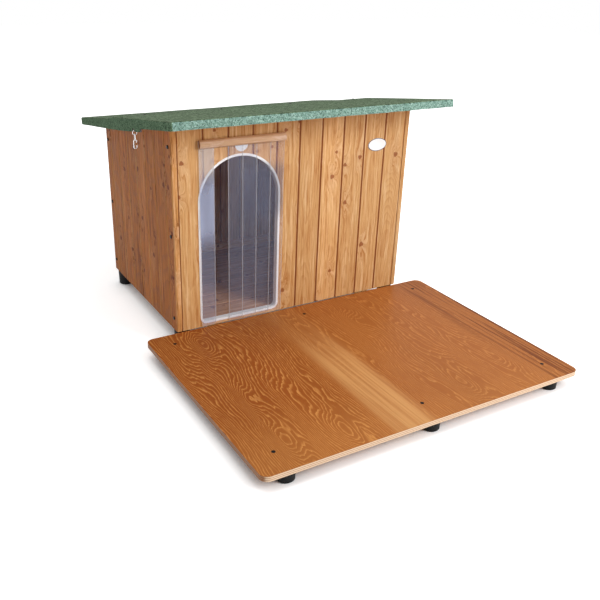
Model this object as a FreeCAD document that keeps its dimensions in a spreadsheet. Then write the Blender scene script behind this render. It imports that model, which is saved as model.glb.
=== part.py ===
import FreeCAD, Part
import math
import os
import re

import Sketcher
from FreeCAD import Placement, Rotation, Vector

# A timber dog kennel with a hinged, felt-covered lean-to roof, a strip curtain in an arched doorway
# and a low plywood platform on rubber feet in front of it. Millimetres, +Z up, +Y to the back.
# The origin is on the ground, under the middle of the whole object's box.

# Driving dimensions: one row of the sheet each.
SIZES = [
    # tongued and grooved boards, upright in the walls
    ("board_cover", 96.0),
    ("front_board_count", 10),
    ("board_thickness", 20.0),
    ("tongue_reach", 6.0),
    ("tongue_thickness", 6.0),
    ("joint_play", 0.2),
    ("joint_chamfer", 3.5),
    # the kennel's box
    ("kennel_depth", 696.0),
    ("wall_bottom", 64.0),
    ("front_height", 812.0),
    ("roof_pitch", 9.87),
    ("floor_thickness", 18.0),
    ("floor_play", 0.5),
    ("bearer_width", 60.0),
    ("bearer_thickness", 18.0),
    ("bearer_inset", 130.0),
    ("post_size", 28.0),
    # panel bolts
    ("bolt_inset", 24.0),
    ("bolt_drop", 62.0),
    ("bolt_rise", 48.0),
    ("bolt_head", 14.0),
    ("bolt_head_height", 4.0),
    ("bolt_shank", 6.0),
    ("bolt_hole_play", 0.2),
    ("bolt_thread_depth", 20.0),
    # doorway
    ("boards_left_count", 1),
    ("door_board_count", 3),
    ("door_nibble", 13.4),
    ("door_shift", 3.0),
    ("door_drop", 113.0),
    ("door_corner", 20.0),
    ("sill_upstand", 12.0),
    ("trim_flange", 6.5),
    ("trim_wall", 2.0),
    ("trim_play", 0.2),
    ("jamb_width", 38.0),
    ("jamb_setback", 10.0),
    # strip curtain
    ("strip_count", 6),
    ("strip_pitch", 55.7),
    ("strip_gap", 1.0),
    ("strip_thickness", 2.5),
    ("strip_standoff", 3.0),
    ("strip_corner", 6.0),
    ("strip_clearance", 6.0),
    ("curtain_offset", 8.0),
    ("batten_drop", 76.0),
    ("batten_height", 30.0),
    ("header_height", 22.0),
    ("strip_pivot_drop", 2.1),
    # roof
    ("roof_width", 1126.0),
    ("roof_length", 1000.0),
    ("eave_front", 175.0),
    ("roof_board_thickness", 25.0),
    ("felt_thickness", 3.0),
    ("lid_gap", 0.5),
    ("crest_place", 382.0),
    ("crest_run", 530.0),
    ("crest_fall", 85.0),
    ("crest_height", 8.5),
    ("flap_drop", 11.0),
    ("flap_start", 116.0),
    ("flap_rear", 355.0),
    ("flap_notch", 11.0),
    ("roof_batten_width", 45.0),
    ("roof_batten_thickness", 20.0),
    ("roof_batten_play", 6.0),
    # roof hinges
    ("hinge_place", 300.0),
    ("hinge_length", 75.0),
    ("hinge_leaf", 34.0),
    ("hinge_plate", 2.0),
    ("knuckle_diameter", 10.0),
    ("hinge_pin", 5.0),
    ("pin_head", 7.6),
    ("pin_head_height", 1.6),
    ("pin_play", 0.05),
    ("hinge_play", 0.5),
    # safety chain at the left end of the roof
    ("bracket_place", 178.0),
    ("bracket_length", 137.0),
    ("bracket_leg", 11.0),
    ("bracket_foot", 24.0),
    ("bracket_plate", 2.5),
    ("bracket_hole", 5.0),
    ("ring_radius", 7.8),
    ("ring_wire", 2.4),
    ("link_radius", 4.6),
    ("link_length", 22.0),
    ("link_wire", 2.6),
    ("hook_wire", 3.2),
    ("hook_radius", 5.6),
    ("wire_gap", 0.4),
    # feet and platform
    ("foot_diameter", 60.0),
    ("foot_taper", 1.5),
    ("foot_edge", 3.0),
    ("foot_inset", 32.0),
    ("foot_recess", 18.0),
    ("foot_recess_depth", 20.0),
    ("platform_width", 1250.0),
    ("platform_depth", 890.0),
    ("platform_gap", 3.0),
    ("platform_top", 62.0),
    ("platform_thickness", 18.0),
    ("platform_corner", 28.0),
    ("platform_side_inset", 84.0),
    ("platform_rear_inset", 72.0),
    ("platform_front_inset", 94.0),
    ("platform_foot_side", 96.0),
    ("platform_foot_gap", 3.0),
    ("platform_foot_grip", 13.0),
    ("platform_batten_width", 34.0),
    ("platform_batten_thickness", 20.0),
    ("platform_batten_inset", 40.0),
    ("screw_head", 13.0),
    ("screw_head_depth", 4.0),
    ("screw_shank", 5.0),
    ("screw_play", 0.2),
    ("nut_width", 8.0),
    ("nut_height", 4.0),
    ("screw_grip", 28.0),
]

# Sizes that follow from the driving ones.
DERIVED = [
    ("rise", "=tan(roof_pitch)"),
    ("half_inner", "=front_board_count * board_cover / 2"),
    ("half_width", "=half_inner + board_thickness"),
    ("floor_top", "=wall_bottom + floor_thickness"),
    ("floor_front", "=board_thickness + trim_wall + floor_play"),
    ("back_inside", "=kennel_depth - board_thickness"),
    ("slab_thickness", "=roof_board_thickness + felt_thickness"),
    ("eave_rear", "=roof_length - eave_front"),
    ("rear_reach", "=eave_rear * cos(roof_pitch) + slab_thickness * sin(roof_pitch)"),
    ("front_face", "=(platform_depth + platform_gap - rear_reach) / 2"),
    ("door_centre", "=(boards_left_count + door_board_count / 2) * board_cover - half_inner - door_shift"),
    ("door_half", "=door_board_count * board_cover / 2 + door_nibble"),
    ("door_top", "=front_height - door_drop"),
    ("door_spring", "=door_top - door_half"),
    ("batten_bottom", "=front_height - batten_drop"),
    ("curtain_centre", "=door_centre + curtain_offset"),
    ("curtain_half", "=strip_count * strip_pitch / 2"),
    ("strip_front", "=-strip_standoff - strip_thickness"),
    ("strip_middle", "=-strip_standoff - strip_thickness / 2"),
    ("strip_pivot", "=batten_bottom - strip_pivot_drop"),
    ("knuckle_offset", "=knuckle_diameter / 2 + hinge_play"),
    ("hinge_along", "=(kennel_depth + knuckle_offset + knuckle_offset * sin(roof_pitch)) / cos(roof_pitch)"),
    ("hinge_z", "=front_height + lid_gap - hinge_along * sin(roof_pitch) - knuckle_offset * cos(roof_pitch)"),
    ("bracket_x", "=felt_thickness + wire_gap + bracket_plate - roof_width / 2"),
    ("hang_depth", "=bracket_leg - bracket_hole / 2 - bracket_plate"),
    ("hang_y", "=bracket_place * cos(roof_pitch) - hang_depth * sin(roof_pitch)"),
    ("hang_z", "=front_height + lid_gap - bracket_place * sin(roof_pitch) - hang_depth * cos(roof_pitch)"),
    ("platform_foot", "=platform_top - platform_thickness"),
    ("platform_foot_ahead", "=foot_diameter / 2 + platform_foot_gap + platform_batten_width / 2"),
    ("platform_batten_low", "=platform_foot - platform_batten_thickness"),
    ("foot_screw_x", "=half_width - foot_inset"),
]

doc = FreeCAD.newDocument("kennel")
sheet = doc.addObject("Spreadsheet::Sheet", "Sizes")
ALIASES = re.compile(r"\b(" + "|".join(name for name, _ in SIZES + DERIVED) + r")\b")


def fill_sheet():
    for row, (name, content) in enumerate(SIZES + DERIVED, start=1):
        sheet.set("A%d" % row, name)
        sheet.set("B%d" % row, str(content))
        sheet.setAlias("B%d" % row, name)
    doc.recompute()


def linked(expression):
    """The expression with each size named as a cell of the sheet."""
    return ALIASES.sub(r"Sizes.\1", expression)


def value(expression):
    return float(sheet.evalExpression(ALIASES.sub(r".\1", expression)))


def bind(obj, prop, expression):
    obj.setExpression(prop, linked(expression))


# ---------------------------------------------------------------- sketches, bodies and groups

def new_body(label, place="kennel"):
    """A body in the kennel's frame (front wall face at y = 0), in the tilted roof's frame, or,
    for a piece that is only copied, about the origin."""
    body = doc.addObject("PartDesign::Body", label)
    body.Label = label
    if place:
        put(body, place)
    return body


def put(obj, place):
    if place == "roof":
        obj.Placement = Placement(Vector(), Rotation(Vector(-1, 0, 0), value("roof_pitch")))
        bind(obj, "Placement.Rotation.Angle", "roof_pitch")
        bind(obj, "Placement.Base.z", "front_height + lid_gap")
    bind(obj, "Placement.Base.y", "front_face")


def new_sketch(body, plane, level="0"):
    """A sketch on one of the body's own origin planes, moved along the plane's normal."""
    sketch = body.newObject("Sketcher::SketchObject", body.Label + "_sketch")
    role = next(item for item in body.Origin.OriginFeatures if item.Role == plane)
    sketch.AttachmentSupport = [(role, "")]
    sketch.MapMode = "FlatFace"
    bind(sketch, "AttachmentOffset.Base.z", level)
    return sketch


def hold(sketch, kind, edge, end, expression):
    index = sketch.addConstraint(Sketcher.Constraint(kind, -1, 1, edge, end, value(expression)))
    bind(sketch, "Constraints[%d]" % index, expression)


def arc_between(start, end, centre):
    """The arc that runs anticlockwise from start to end about the centre."""
    circle = Part.Circle(centre, Vector(0, 0, 1), start.distanceToPoint(centre))
    first = math.atan2(start.y - centre.y, start.x - centre.x)
    last = math.atan2(end.y - centre.y, end.x - centre.x)
    if last <= first:
        last += 2 * math.pi
    return Part.ArcOfCircle(circle, first, last)


def outline(sketch, corners):
    """A closed outline. A corner is (x, y), or (x, y, centre_x, centre_y) where the edge that
    leaves it is an arc, anticlockwise, about that centre."""
    points = [Vector(value(corner[0]), value(corner[1]), 0) for corner in corners]
    edges = []
    for index, corner in enumerate(corners):
        start, end = points[index], points[(index + 1) % len(points)]
        if len(corner) == 2:
            edges.append(sketch.addGeometry(Part.LineSegment(start, end), False))
            continue
        centre = Vector(value(corner[2]), value(corner[3]), 0)
        edges.append(sketch.addGeometry(arc_between(start, end, centre), False))
    for index, corner in enumerate(corners):
        hold(sketch, "DistanceX", edges[index], 1, corner[0])
        hold(sketch, "DistanceY", edges[index], 1, corner[1])
        sketch.addConstraint(Sketcher.Constraint("Coincident", edges[index - 1], 2, edges[index], 1))
    for index, corner in enumerate(corners):
        if len(corner) == 4:
            chord = points[(index + 1) % len(points)] - points[index]
            if abs(chord.x) > abs(chord.y):
                hold(sketch, "DistanceY", edges[index], 3, corner[3])
            else:
                hold(sketch, "DistanceX", edges[index], 3, corner[2])


def circle(sketch, centre_x, centre_y, radius):
    centre = Vector(value(centre_x), value(centre_y), 0)
    edge = sketch.addGeometry(Part.Circle(centre, Vector(0, 0, 1), value(radius)), False)
    hold(sketch, "DistanceX", edge, 3, centre_x)
    hold(sketch, "DistanceY", edge, 3, centre_y)
    index = sketch.addConstraint(Sketcher.Constraint("Radius", edge, value(radius)))
    bind(sketch, "Constraints[%d]" % index, radius)


def pad(body, sketch, length):
    feature = body.newObject("PartDesign::Pad", body.Label + "_pad")
    feature.Profile = sketch
    feature.Length = value(length)
    bind(feature, "Length", length)
    return feature


def cut(body, sketch, length):
    """A pocket on both sides of the sketch's plane, which has to take something away."""
    doc.recompute()
    before = body.Shape.Volume
    feature = body.newObject("PartDesign::Pocket", body.Label + "_cut")
    feature.Profile = sketch
    feature.Midplane = True
    feature.Length = value(length)
    bind(feature, "Length", length)
    doc.recompute()
    if body.Shape.Volume > before - 1e-3:
        raise RuntimeError(body.Label + ": the cut takes nothing away")
    return feature


def prism(label, plane, corners, start, length, place="kennel"):
    """A straight length of one section, from start along the plane's normal."""
    body = new_body(label, place)
    sketch = new_sketch(body, plane, start)
    outline(sketch, corners)
    pad(body, sketch, length)
    return body


def group(label, members):
    compound = doc.addObject("Part::Compound", label)
    compound.Label = label
    compound.Links = members
    return compound


def copies(label, master, places, axis=(0, 0, 1), turn="0"):
    """Copies of one piece at (x, y, z) places in the kennel's frame, turned about an axis."""
    links = []
    for number, (x, y, z) in enumerate(places, start=1):
        link = doc.addObject("App::Link", "%s_%d" % (label, number))
        link.LinkedObject = master
        link.LinkTransform = False
        link.Placement = Placement(Vector(), Rotation(Vector(*axis), value(turn)))
        if value(turn):
            bind(link, "Placement.Rotation.Angle", turn)
        bind(link, "Placement.Base.x", x)
        bind(link, "Placement.Base.y", "front_face + (%s)" % y)
        bind(link, "Placement.Base.z", z)
        links.append(link)
    return group(label, links)


# ---------------------------------------------------------------- boards

def board_section(first, last, face, inward, thickness, groove, tongue):
    """Corners (along, depth) of a tongued and grooved board from first to last, whose chamfered
    face is at depth face; inward is + or -, the way its thickness goes."""
    def depth(amount):
        return "(%s) %s (%s)" % (face, inward, amount)

    near = "(%s - tongue_thickness) / 2" % thickness
    far = "(%s + tongue_thickness) / 2" % thickness
    corners = [("%s + joint_chamfer" % first, depth("0")), ("%s - joint_chamfer" % last, depth("0"))]
    corners.append((last, depth("joint_chamfer")))
    if tongue:
        corners += [(last, depth(near)), ("%s + tongue_reach" % last, depth(near)),
                    ("%s + tongue_reach" % last, depth(far)), (last, depth(far))]
    corners += [(last, depth(thickness)), (first, depth(thickness))]
    if groove:
        bottom = "%s + tongue_reach + joint_play" % first
        corners += [(first, depth(far + " + joint_play")), (bottom, depth(far + " + joint_play")),
                    (bottom, depth(near + " - joint_play")), (first, depth(near + " - joint_play"))]
    corners.append((first, depth("joint_chamfer")))
    return corners


def trim_to_roof(body):
    """Cuts the body's top to the line of the roof's underside."""
    sketch = new_sketch(body, "YZ_Plane")
    outline(sketch, [("-post_size", "front_height + post_size * rise"),
                     ("kennel_depth + post_size", "front_height - (kennel_depth + post_size) * rise"),
                     ("kennel_depth + post_size", "front_height + 2 * post_size"),
                     ("-post_size", "front_height + 2 * post_size")])
    cut(body, sketch, "4 * half_width")


def door_outline(offset, bottom):
    """The arched doorway seen from the front, grown by an offset, with rounded lower corners."""
    half = "(door_half + %s)" % offset
    corner = "(door_corner + %s)" % offset
    left = "door_centre - %s" % half
    right = "door_centre + %s" % half
    base = "%s - %s" % (bottom, offset)
    left_centre = "%s + %s" % (left, corner)
    right_centre = "%s - %s" % (right, corner)
    level = "%s + %s" % (base, corner)
    return [(left_centre, base), (right_centre, base, right_centre, level),
            (right, level), (right, "door_spring", "door_centre", "door_spring"),
            (left, "door_spring"), (left, level, left_centre, level)]


def straight_door():
    """The doorway as it is sawn in the boards, open to the bottom of the wall."""
    left = "door_centre - door_half"
    right = "door_centre + door_half"
    return [(left, "wall_bottom - post_size"), (right, "wall_bottom - post_size"),
            (right, "door_spring", "door_centre", "door_spring"), (left, "door_spring")]


def front_boards():
    """Ten separate boards; the doorway is sawn through the ones that it crosses."""
    count = int(value("front_board_count"))
    boards = []
    for number in range(count):
        first = "%d * board_cover - half_inner" % number
        last = "%d * board_cover - half_inner" % (number + 1)
        body = new_body("front_board_%02d" % (number + 1))
        sketch = new_sketch(body, "XY_Plane", "wall_bottom")
        outline(sketch, board_section(first, last, "0", "+", "board_thickness",
                                      number > 0, number < count - 1))
        pad(body, sketch, "front_height - wall_bottom")
        trim_to_roof(body)
        reach = value("tongue_reach")
        clear_left = value(last) + reach < value("door_centre - door_half")
        clear_right = value(first) > value("door_centre + door_half")
        if not clear_left and not clear_right:
            door = new_sketch(body, "XZ_Plane")
            outline(door, straight_door())
            cut(body, door, "4 * board_thickness")
        boards.append(body)
    return boards


def rear_wall():
    count = int(value("front_board_count"))
    boards = []
    for number in range(count):
        first = "%d * board_cover - half_inner" % number
        last = "%d * board_cover - half_inner" % (number + 1)
        body = new_body("rear_board_%02d" % (number + 1))
        sketch = new_sketch(body, "XY_Plane", "wall_bottom")
        outline(sketch, board_section(first, last, "kennel_depth", "-", "board_thickness",
                                      number > 0, number < count - 1))
        pad(body, sketch, "front_height - wall_bottom")
        trim_to_roof(body)
        boards.append(body)
    return group("rear_wall_boards", boards)


def bolt_heights(depth):
    """Low, middle and high bolts of a post whose bolts stand at this depth."""
    low = "wall_bottom + bolt_rise"
    high = "front_height - (%s) * rise - bolt_drop" % depth
    return [low, "((%s) + (%s)) / 2" % (low, high), high]


BOLT_COLUMNS = ["bolt_inset", "kennel_depth - bolt_inset"]
FOOT_ROWS = ["foot_inset", "kennel_depth - foot_inset"]


def side_wall(side, sign):
    """Full boards in the middle of a side and a ripped one at each end, which the bolts hold."""
    full = int(value("kennel_depth") // value("board_cover"))
    if value("kennel_depth") - full * value("board_cover") < value("2 * bolt_inset"):
        full -= 1
    start = "(kennel_depth - %d * board_cover) / 2" % full
    edges = ["0"] + ["%s + %d * board_cover" % (start, step) for step in range(full + 1)]
    edges.append("kennel_depth")
    boards = []
    for number in range(len(edges) - 1):
        body = new_body("%s_board_%02d" % (side, number + 1))
        sketch = new_sketch(body, "XY_Plane", "wall_bottom")
        section = board_section(edges[number], edges[number + 1], "half_width", "-",
                                "board_thickness", number > 0, number < len(edges) - 2)
        outline(sketch, [("%s * (%s)" % (sign, depth), along) for along, depth in section])
        pad(body, sketch, "front_height - wall_bottom")
        trim_to_roof(body)
        reach = value("bolt_shank / 2 + bolt_hole_play")
        for column in BOLT_COLUMNS:
            if (value(edges[number]) - reach < value(column)
                    < value(edges[number + 1] + " + tongue_reach") + reach):
                drill_bolts(body, column)
        boards.append(body)
    return group("%s_wall_boards" % side, boards)


def drill_bolts(body, column):
    sketch = new_sketch(body, "YZ_Plane")
    for height in bolt_heights(column):
        circle(sketch, column, height, "bolt_shank / 2 + bolt_hole_play")
    cut(body, sketch, "4 * half_width")


# ---------------------------------------------------------------- frame and floor

def under_roof(depth):
    return "front_height - (%s) * rise" % depth


def corner_post(label, side, near, far, column, row):
    """A square post on the floor in a corner, bevelled to the roof and drilled for its bolts and
    for the screw of the foot below it."""
    start = "-half_inner" if side == "left" else "half_inner - post_size"
    body = prism(label, "YZ_Plane", [(near, "floor_top"), (far, "floor_top"),
                                     (far, under_roof(far)), (near, under_roof(near))],
                 start, "post_size")
    drill_bolts(body, column)
    sketch = new_sketch(body, "XY_Plane", "floor_top")
    circle(sketch, "-foot_screw_x" if side == "left" else "foot_screw_x", row,
           "screw_shank / 2 + screw_play")
    cut(body, sketch, "2 * (screw_grip + screw_play)")
    return body


def cross_rail(label, near, far, low, high_near, high_far, start, length):
    """A rail along the front or back wall: its section seen from the side, then its length."""
    return prism(label, "YZ_Plane", [(near, low), (far, low), (far, high_far), (near, high_near)],
                 start, length)


def side_rail(label, side, low_front, low_rear, high_front, high_rear):
    """A rail along a side wall between the corner posts."""
    near = "board_thickness + post_size"
    far = "back_inside - post_size"
    start = "-half_inner" if side == "left" else "half_inner - post_size"
    return prism(label, "YZ_Plane", [(near, low_front), (far, low_rear), (far, high_rear),
                                     (near, high_front)], start, "post_size")


def frame():
    front_near = "board_thickness"
    front_far = "board_thickness + post_size"
    rear_near = "back_inside - post_size"
    rear_far = "back_inside"
    between = "half_inner - post_size"
    pieces = []
    for side in ("left", "right"):
        pieces.append(corner_post("front_%s_post" % side, side, front_near, front_far,
                                  BOLT_COLUMNS[0], FOOT_ROWS[0]))
        pieces.append(corner_post("rear_%s_post" % side, side, rear_near, rear_far,
                                  BOLT_COLUMNS[1], FOOT_ROWS[1]))
        pieces.append(side_rail("%s_bottom_rail" % side, side, "floor_top", "floor_top",
                                "floor_top + post_size", "floor_top + post_size"))
        pieces.append(side_rail("%s_top_rail" % side, side,
                                under_roof(front_far) + " - post_size",
                                under_roof(rear_near) + " - post_size",
                                under_roof(front_far), under_roof(rear_near)))
    for end, near, far in (("front", front_near, front_far), ("rear", rear_near, rear_far)):
        pieces.append(cross_rail("%s_top_rail" % end, near, far, under_roof(near) + " - post_size",
                                 under_roof(near), under_roof(far),
                                 "-(%s)" % between, "2 * (%s)" % between))
    rail_top = "floor_top + post_size"
    pieces.append(cross_rail("rear_bottom_rail", rear_near, rear_far, "floor_top", rail_top, rail_top,
                             "-(%s)" % between, "2 * (%s)" % between))
    jamb_edge = "door_centre + door_half + jamb_setback + jamb_width"
    pieces.append(cross_rail("front_bottom_rail", front_near, front_far, "floor_top", rail_top,
                             rail_top, jamb_edge, "%s - (%s)" % (between, jamb_edge)))
    return pieces


def door_jambs():
    """Two upright battens behind the front boards, clear of the doorway's edge trim."""
    inner = "door_half + jamb_setback"
    battens = []
    for name, start in (("left", "door_centre - (%s) - jamb_width" % inner),
                        ("right", "door_centre + %s" % inner)):
        low = "floor_top"
        high = under_roof("board_thickness") + " - post_size"
        battens.append(prism("door_jamb_" + name, "YZ_Plane",
                             [("board_thickness", low), ("2 * board_thickness", low),
                              ("2 * board_thickness", high), ("board_thickness", high)],
                             start, "jamb_width"))
    return group("door_jamb_battens", battens)


def floor():
    """Boards from side to side behind the doorway's edge trim, the last one ripped to fit, on two
    bearers."""
    depth = value("back_inside - floor_front")
    count = math.ceil(depth / value("board_cover") - 1e-6)
    boards = []
    for number in range(count):
        first = "floor_front + %d * board_cover" % number
        last = "floor_front + %d * board_cover" % (number + 1)
        if number == count - 1:
            last = "back_inside"
        section = board_section(first, last, "floor_top", "-", "floor_thickness",
                                number > 0, number < count - 1)
        board = prism("floor_board_%02d" % (number + 1), "YZ_Plane", section,
                      "-half_inner", "2 * half_inner")
        for row in FOOT_ROWS:
            if value(first) < value(row) < value(last):
                holes = new_sketch(board, "XY_Plane", "wall_bottom")
                for side in ("-", ""):
                    circle(holes, side + "foot_screw_x", row, "screw_shank / 2 + screw_play")
                cut(board, holes, "4 * floor_thickness")
        boards.append(board)
    bearers = []
    for name, start in (("left", "bearer_inset - half_width"),
                        ("right", "half_width - bearer_inset - bearer_width")):
        low = "wall_bottom - bearer_thickness"
        bearers.append(prism("floor_bearer_" + name, "YZ_Plane",
                             [("board_thickness", low), ("back_inside", low),
                              ("back_inside", "wall_bottom"), ("board_thickness", "wall_bottom")],
                             start, "bearer_width"))
    return [group("floor_boards", boards), group("floor_bearers", bearers)]


# ---------------------------------------------------------------- doorway and curtain

def door_sill():
    """The strip under the doorway, sawn to the rounded lower corners."""
    body = prism("door_sill", "XZ_Plane",
                 [("door_centre - door_half", "wall_bottom"), ("door_centre + door_half", "wall_bottom"),
                  ("door_centre + door_half", "floor_top + sill_upstand"),
                  ("door_centre - door_half", "floor_top + sill_upstand")],
                 "-board_thickness", "board_thickness")
    sketch = new_sketch(body, "XZ_Plane")
    outline(sketch, door_outline("0", "floor_top"))
    cut(body, sketch, "4 * board_thickness")
    return body


def door_trim():
    """A channel of white plastic pressed round the edge of the doorway, a flange on each face."""
    body = new_body("door_edge_trim")
    for offset, start, length in (("trim_flange", "0", "trim_wall"),
                                  ("(-trim_play)", "-board_thickness", "board_thickness"),
                                  ("trim_flange", "-board_thickness - trim_wall", "trim_wall")):
        sketch = new_sketch(body, "XZ_Plane", start)
        outline(sketch, door_outline(offset, "floor_top"))
        pad(body, sketch, length)
    sketch = new_sketch(body, "XZ_Plane")
    outline(sketch, door_outline("(-trim_play - trim_wall)", "floor_top"))
    cut(body, sketch, "4 * board_thickness")
    return body


def curtain():
    """A header clamped to the wall by a half-round batten, and the strips that hang below it."""
    start = "curtain_centre - curtain_half"
    length = "2 * curtain_half"
    top = "batten_bottom + (batten_height + header_height) / 2"
    low = "batten_bottom + (batten_height - header_height) / 2"
    header = prism("curtain_header", "YZ_Plane", [("strip_front", low), ("0", low), ("0", top),
                                                  ("strip_front", top)], start, length)
    middle = "batten_bottom + batten_height / 2"
    batten = prism("curtain_batten", "YZ_Plane",
                   [("strip_front", "batten_bottom"),
                    ("strip_front", "batten_bottom + batten_height", "strip_front", middle)],
                   start, length)
    strips = []
    for number in range(int(value("strip_count"))):
        left = "curtain_centre - curtain_half + %d * strip_pitch + strip_gap / 2" % number
        right = "curtain_centre - curtain_half + %d * strip_pitch - strip_gap / 2" % (number + 1)
        foot = "platform_top + strip_clearance"
        strip = prism("curtain_strip_%d" % (number + 1), "YZ_Plane",
                      [("strip_front", foot), ("-strip_standoff", foot),
                       ("-strip_standoff", "strip_pivot", "strip_middle", "strip_pivot"),
                       ("strip_front", "strip_pivot")], left, "strip_pitch - strip_gap")
        level = foot + " + strip_corner"
        corners = new_sketch(strip, "XZ_Plane")
        outline(corners, [(left, level, left + " + strip_corner", level), (left + " + strip_corner", foot),
                          (left, foot)])
        outline(corners, [(right + " - strip_corner", foot, right + " - strip_corner", level),
                          (right, level), (right, foot)])
        cut(strip, corners, "4 * strip_standoff + 4 * strip_thickness")
        strips.append(strip)
    return [header, batten] + strips


# ---------------------------------------------------------------- roof

def roof_deck():
    """Boards from side to side, the last one ripped, held by battens that drop between the walls."""
    inner_front = "felt_thickness - eave_front"
    length = value("roof_length - 2 * felt_thickness")
    count = math.ceil(length / value("board_cover") - 1e-6)
    boards = []
    for number in range(count):
        first = "%s + %d * board_cover" % (inner_front, number)
        last = "%s + %d * board_cover" % (inner_front, number + 1)
        if number == count - 1:
            last = "eave_rear - felt_thickness"
        section = board_section(first, last, "0", "+", "roof_board_thickness",
                                number > 0, number < count - 1)
        boards.append(prism("roof_board_%02d" % (number + 1), "YZ_Plane", section,
                            "felt_thickness - roof_width / 2", "roof_width - 2 * felt_thickness",
                            "roof"))
    near = "(board_thickness + post_size + roof_batten_play) / cos(roof_pitch)"
    far = "(back_inside - post_size - 2 * roof_batten_play) / cos(roof_pitch)"
    outer = "half_inner - post_size - roof_batten_play - roof_batten_width"
    battens = []
    for name, start in (("left", "-(%s) - roof_batten_width" % outer),
                        ("middle", "-roof_batten_width / 2"), ("right", outer)):
        battens.append(prism("roof_batten_" + name, "YZ_Plane",
                             [(near, "-roof_batten_thickness"), (far, "-roof_batten_thickness"),
                              (far, "0"), (near, "0")], start, "roof_batten_width", "roof"))
    return [group("roof_boards", boards), group("roof_cross_battens", battens)]


def crest(level):
    """The roof's low crest: its two feet and its top, at a level above the underside."""
    return [("crest_place - crest_run", level),
            ("crest_place", level + " + crest_height"),
            ("crest_place + crest_fall", level)]


def roof_firring():
    """A thin board across the roof, tapered to the front, which lifts the felt into a low crest."""
    return prism("roof_firring", "YZ_Plane", crest("roof_board_thickness")[::-1],
                 "felt_thickness - roof_width / 2", "roof_width - 2 * felt_thickness", "roof")


def roof_felt():
    """Felt over the boards and down all four edges, with a longer flap at the left end that is
    notched round the safety chain."""
    corners = [("-eave_front", "0"), ("eave_rear", "0"), ("eave_rear", "slab_thickness")]
    corners += crest("slab_thickness")[::-1] + [("-eave_front", "slab_thickness")]
    body = prism("roof_felt", "YZ_Plane", corners, "-roof_width / 2", "roof_width", "roof")
    inner_front = "felt_thickness - eave_front"
    inner_rear = "eave_rear - felt_thickness"
    below = "-roof_board_thickness"
    inner = [(inner_front, below), (inner_rear, below), (inner_rear, "roof_board_thickness")]
    inner += crest("roof_board_thickness")[::-1] + [(inner_front, "roof_board_thickness")]
    sketch = new_sketch(body, "YZ_Plane")
    outline(sketch, inner)
    cut(body, sketch, "roof_width - 2 * felt_thickness")
    flap = new_sketch(body, "YZ_Plane", "-roof_width / 2")
    outline(flap, [("flap_start", "felt_thickness"), ("flap_start", "-flap_drop"),
                   ("bracket_place - flap_notch", "-flap_drop"), ("bracket_place - flap_notch", "0"),
                   ("bracket_place + flap_notch", "0"), ("bracket_place + flap_notch", "-flap_drop"),
                   ("flap_rear", "-flap_drop"), ("eave_rear", "0"), ("eave_rear", "felt_thickness")])
    pad(body, flap, "felt_thickness")
    return body


# ---------------------------------------------------------------- hinges

def knuckle_spans(outer):
    """Where a leaf has knuckles, along its length: at both ends, or in the middle."""
    third = "hinge_length / 3"
    if outer:
        return [("-hinge_length / 2", third), ("hinge_length / 6", third)]
    return [("hinge_play - hinge_length / 6", third + " - 2 * hinge_play")]


def hinge_leaf(label, outer):
    """A hinge leaf about the pin's axis: a plate that runs down from it, and its knuckles. The
    wall's leaf has its plate on the near side of the axis, the roof's on the far side."""
    body = new_body(label, None)
    flat = "-1" if outer else "1"
    back = flat + " * knuckle_offset"
    face = flat + " * (knuckle_offset - hinge_plate)"
    plate = new_sketch(body, "YZ_Plane", "-hinge_length / 2")
    outline(plate, [(back, "-knuckle_offset - hinge_leaf"), (face, "-knuckle_offset - hinge_leaf"),
                    (face, "-knuckle_offset"), (back, "-knuckle_offset")])
    pad(body, plate, "hinge_length")
    for start, length in knuckle_spans(outer):
        web = new_sketch(body, "YZ_Plane", start)
        outline(web, [(back, "-knuckle_offset - hinge_plate"), (face, "-knuckle_offset - hinge_plate"),
                      (face, "0"), (back, "0")])
        pad(body, web, length)
        barrel = new_sketch(body, "YZ_Plane", start)
        circle(barrel, "0", "0", "knuckle_diameter / 2")
        pad(body, barrel, length)
    bore = new_sketch(body, "YZ_Plane")
    circle(bore, "0", "0", "hinge_pin / 2 + pin_play")
    cut(body, bore, "2 * hinge_length")
    return body


def hinges():
    """Two butt hinges behind the rear wall: wall leaves, roof leaves and headed pins."""
    half = "hinge_length / 2 + pin_play"
    shank = "hinge_pin / 2"
    pin = turned("hinge_pin_master", [("0", "-(%s) - pin_head_height" % half),
                                      ("pin_head / 2", "-(%s) - pin_head_height" % half),
                                      ("pin_head / 2", "-(%s)" % half), (shank, "-(%s)" % half),
                                      (shank, half), ("pin_head / 2", half),
                                      ("pin_head / 2", "%s + pin_head_height" % half),
                                      ("0", "%s + pin_head_height" % half)])
    places = [("%s * hinge_place" % sign, "kennel_depth + knuckle_offset", "hinge_z")
              for sign in ("-1", "1")]
    return [copies("hinge_wall_leaves", hinge_leaf("wall_leaf", True), places),
            copies("hinge_roof_leaves", hinge_leaf("roof_leaf", False), places,
                   (1, 0, 0), "90 - roof_pitch"),
            copies("hinge_pins", pin, places, (0, 1, 0), "90")]


# ---------------------------------------------------------------- feet, bolts and screws

def turned(label, corners):
    """A solid of revolution about the upright axis, from its half section."""
    body = new_body(label, None)
    sketch = new_sketch(body, "XZ_Plane")
    outline(sketch, corners)
    feature = body.newObject("PartDesign::Revolution", label + "_turn")
    feature.Profile = sketch
    feature.ReferenceAxis = (sketch, ["V_Axis"])
    feature.Angle = 360
    return body


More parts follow.
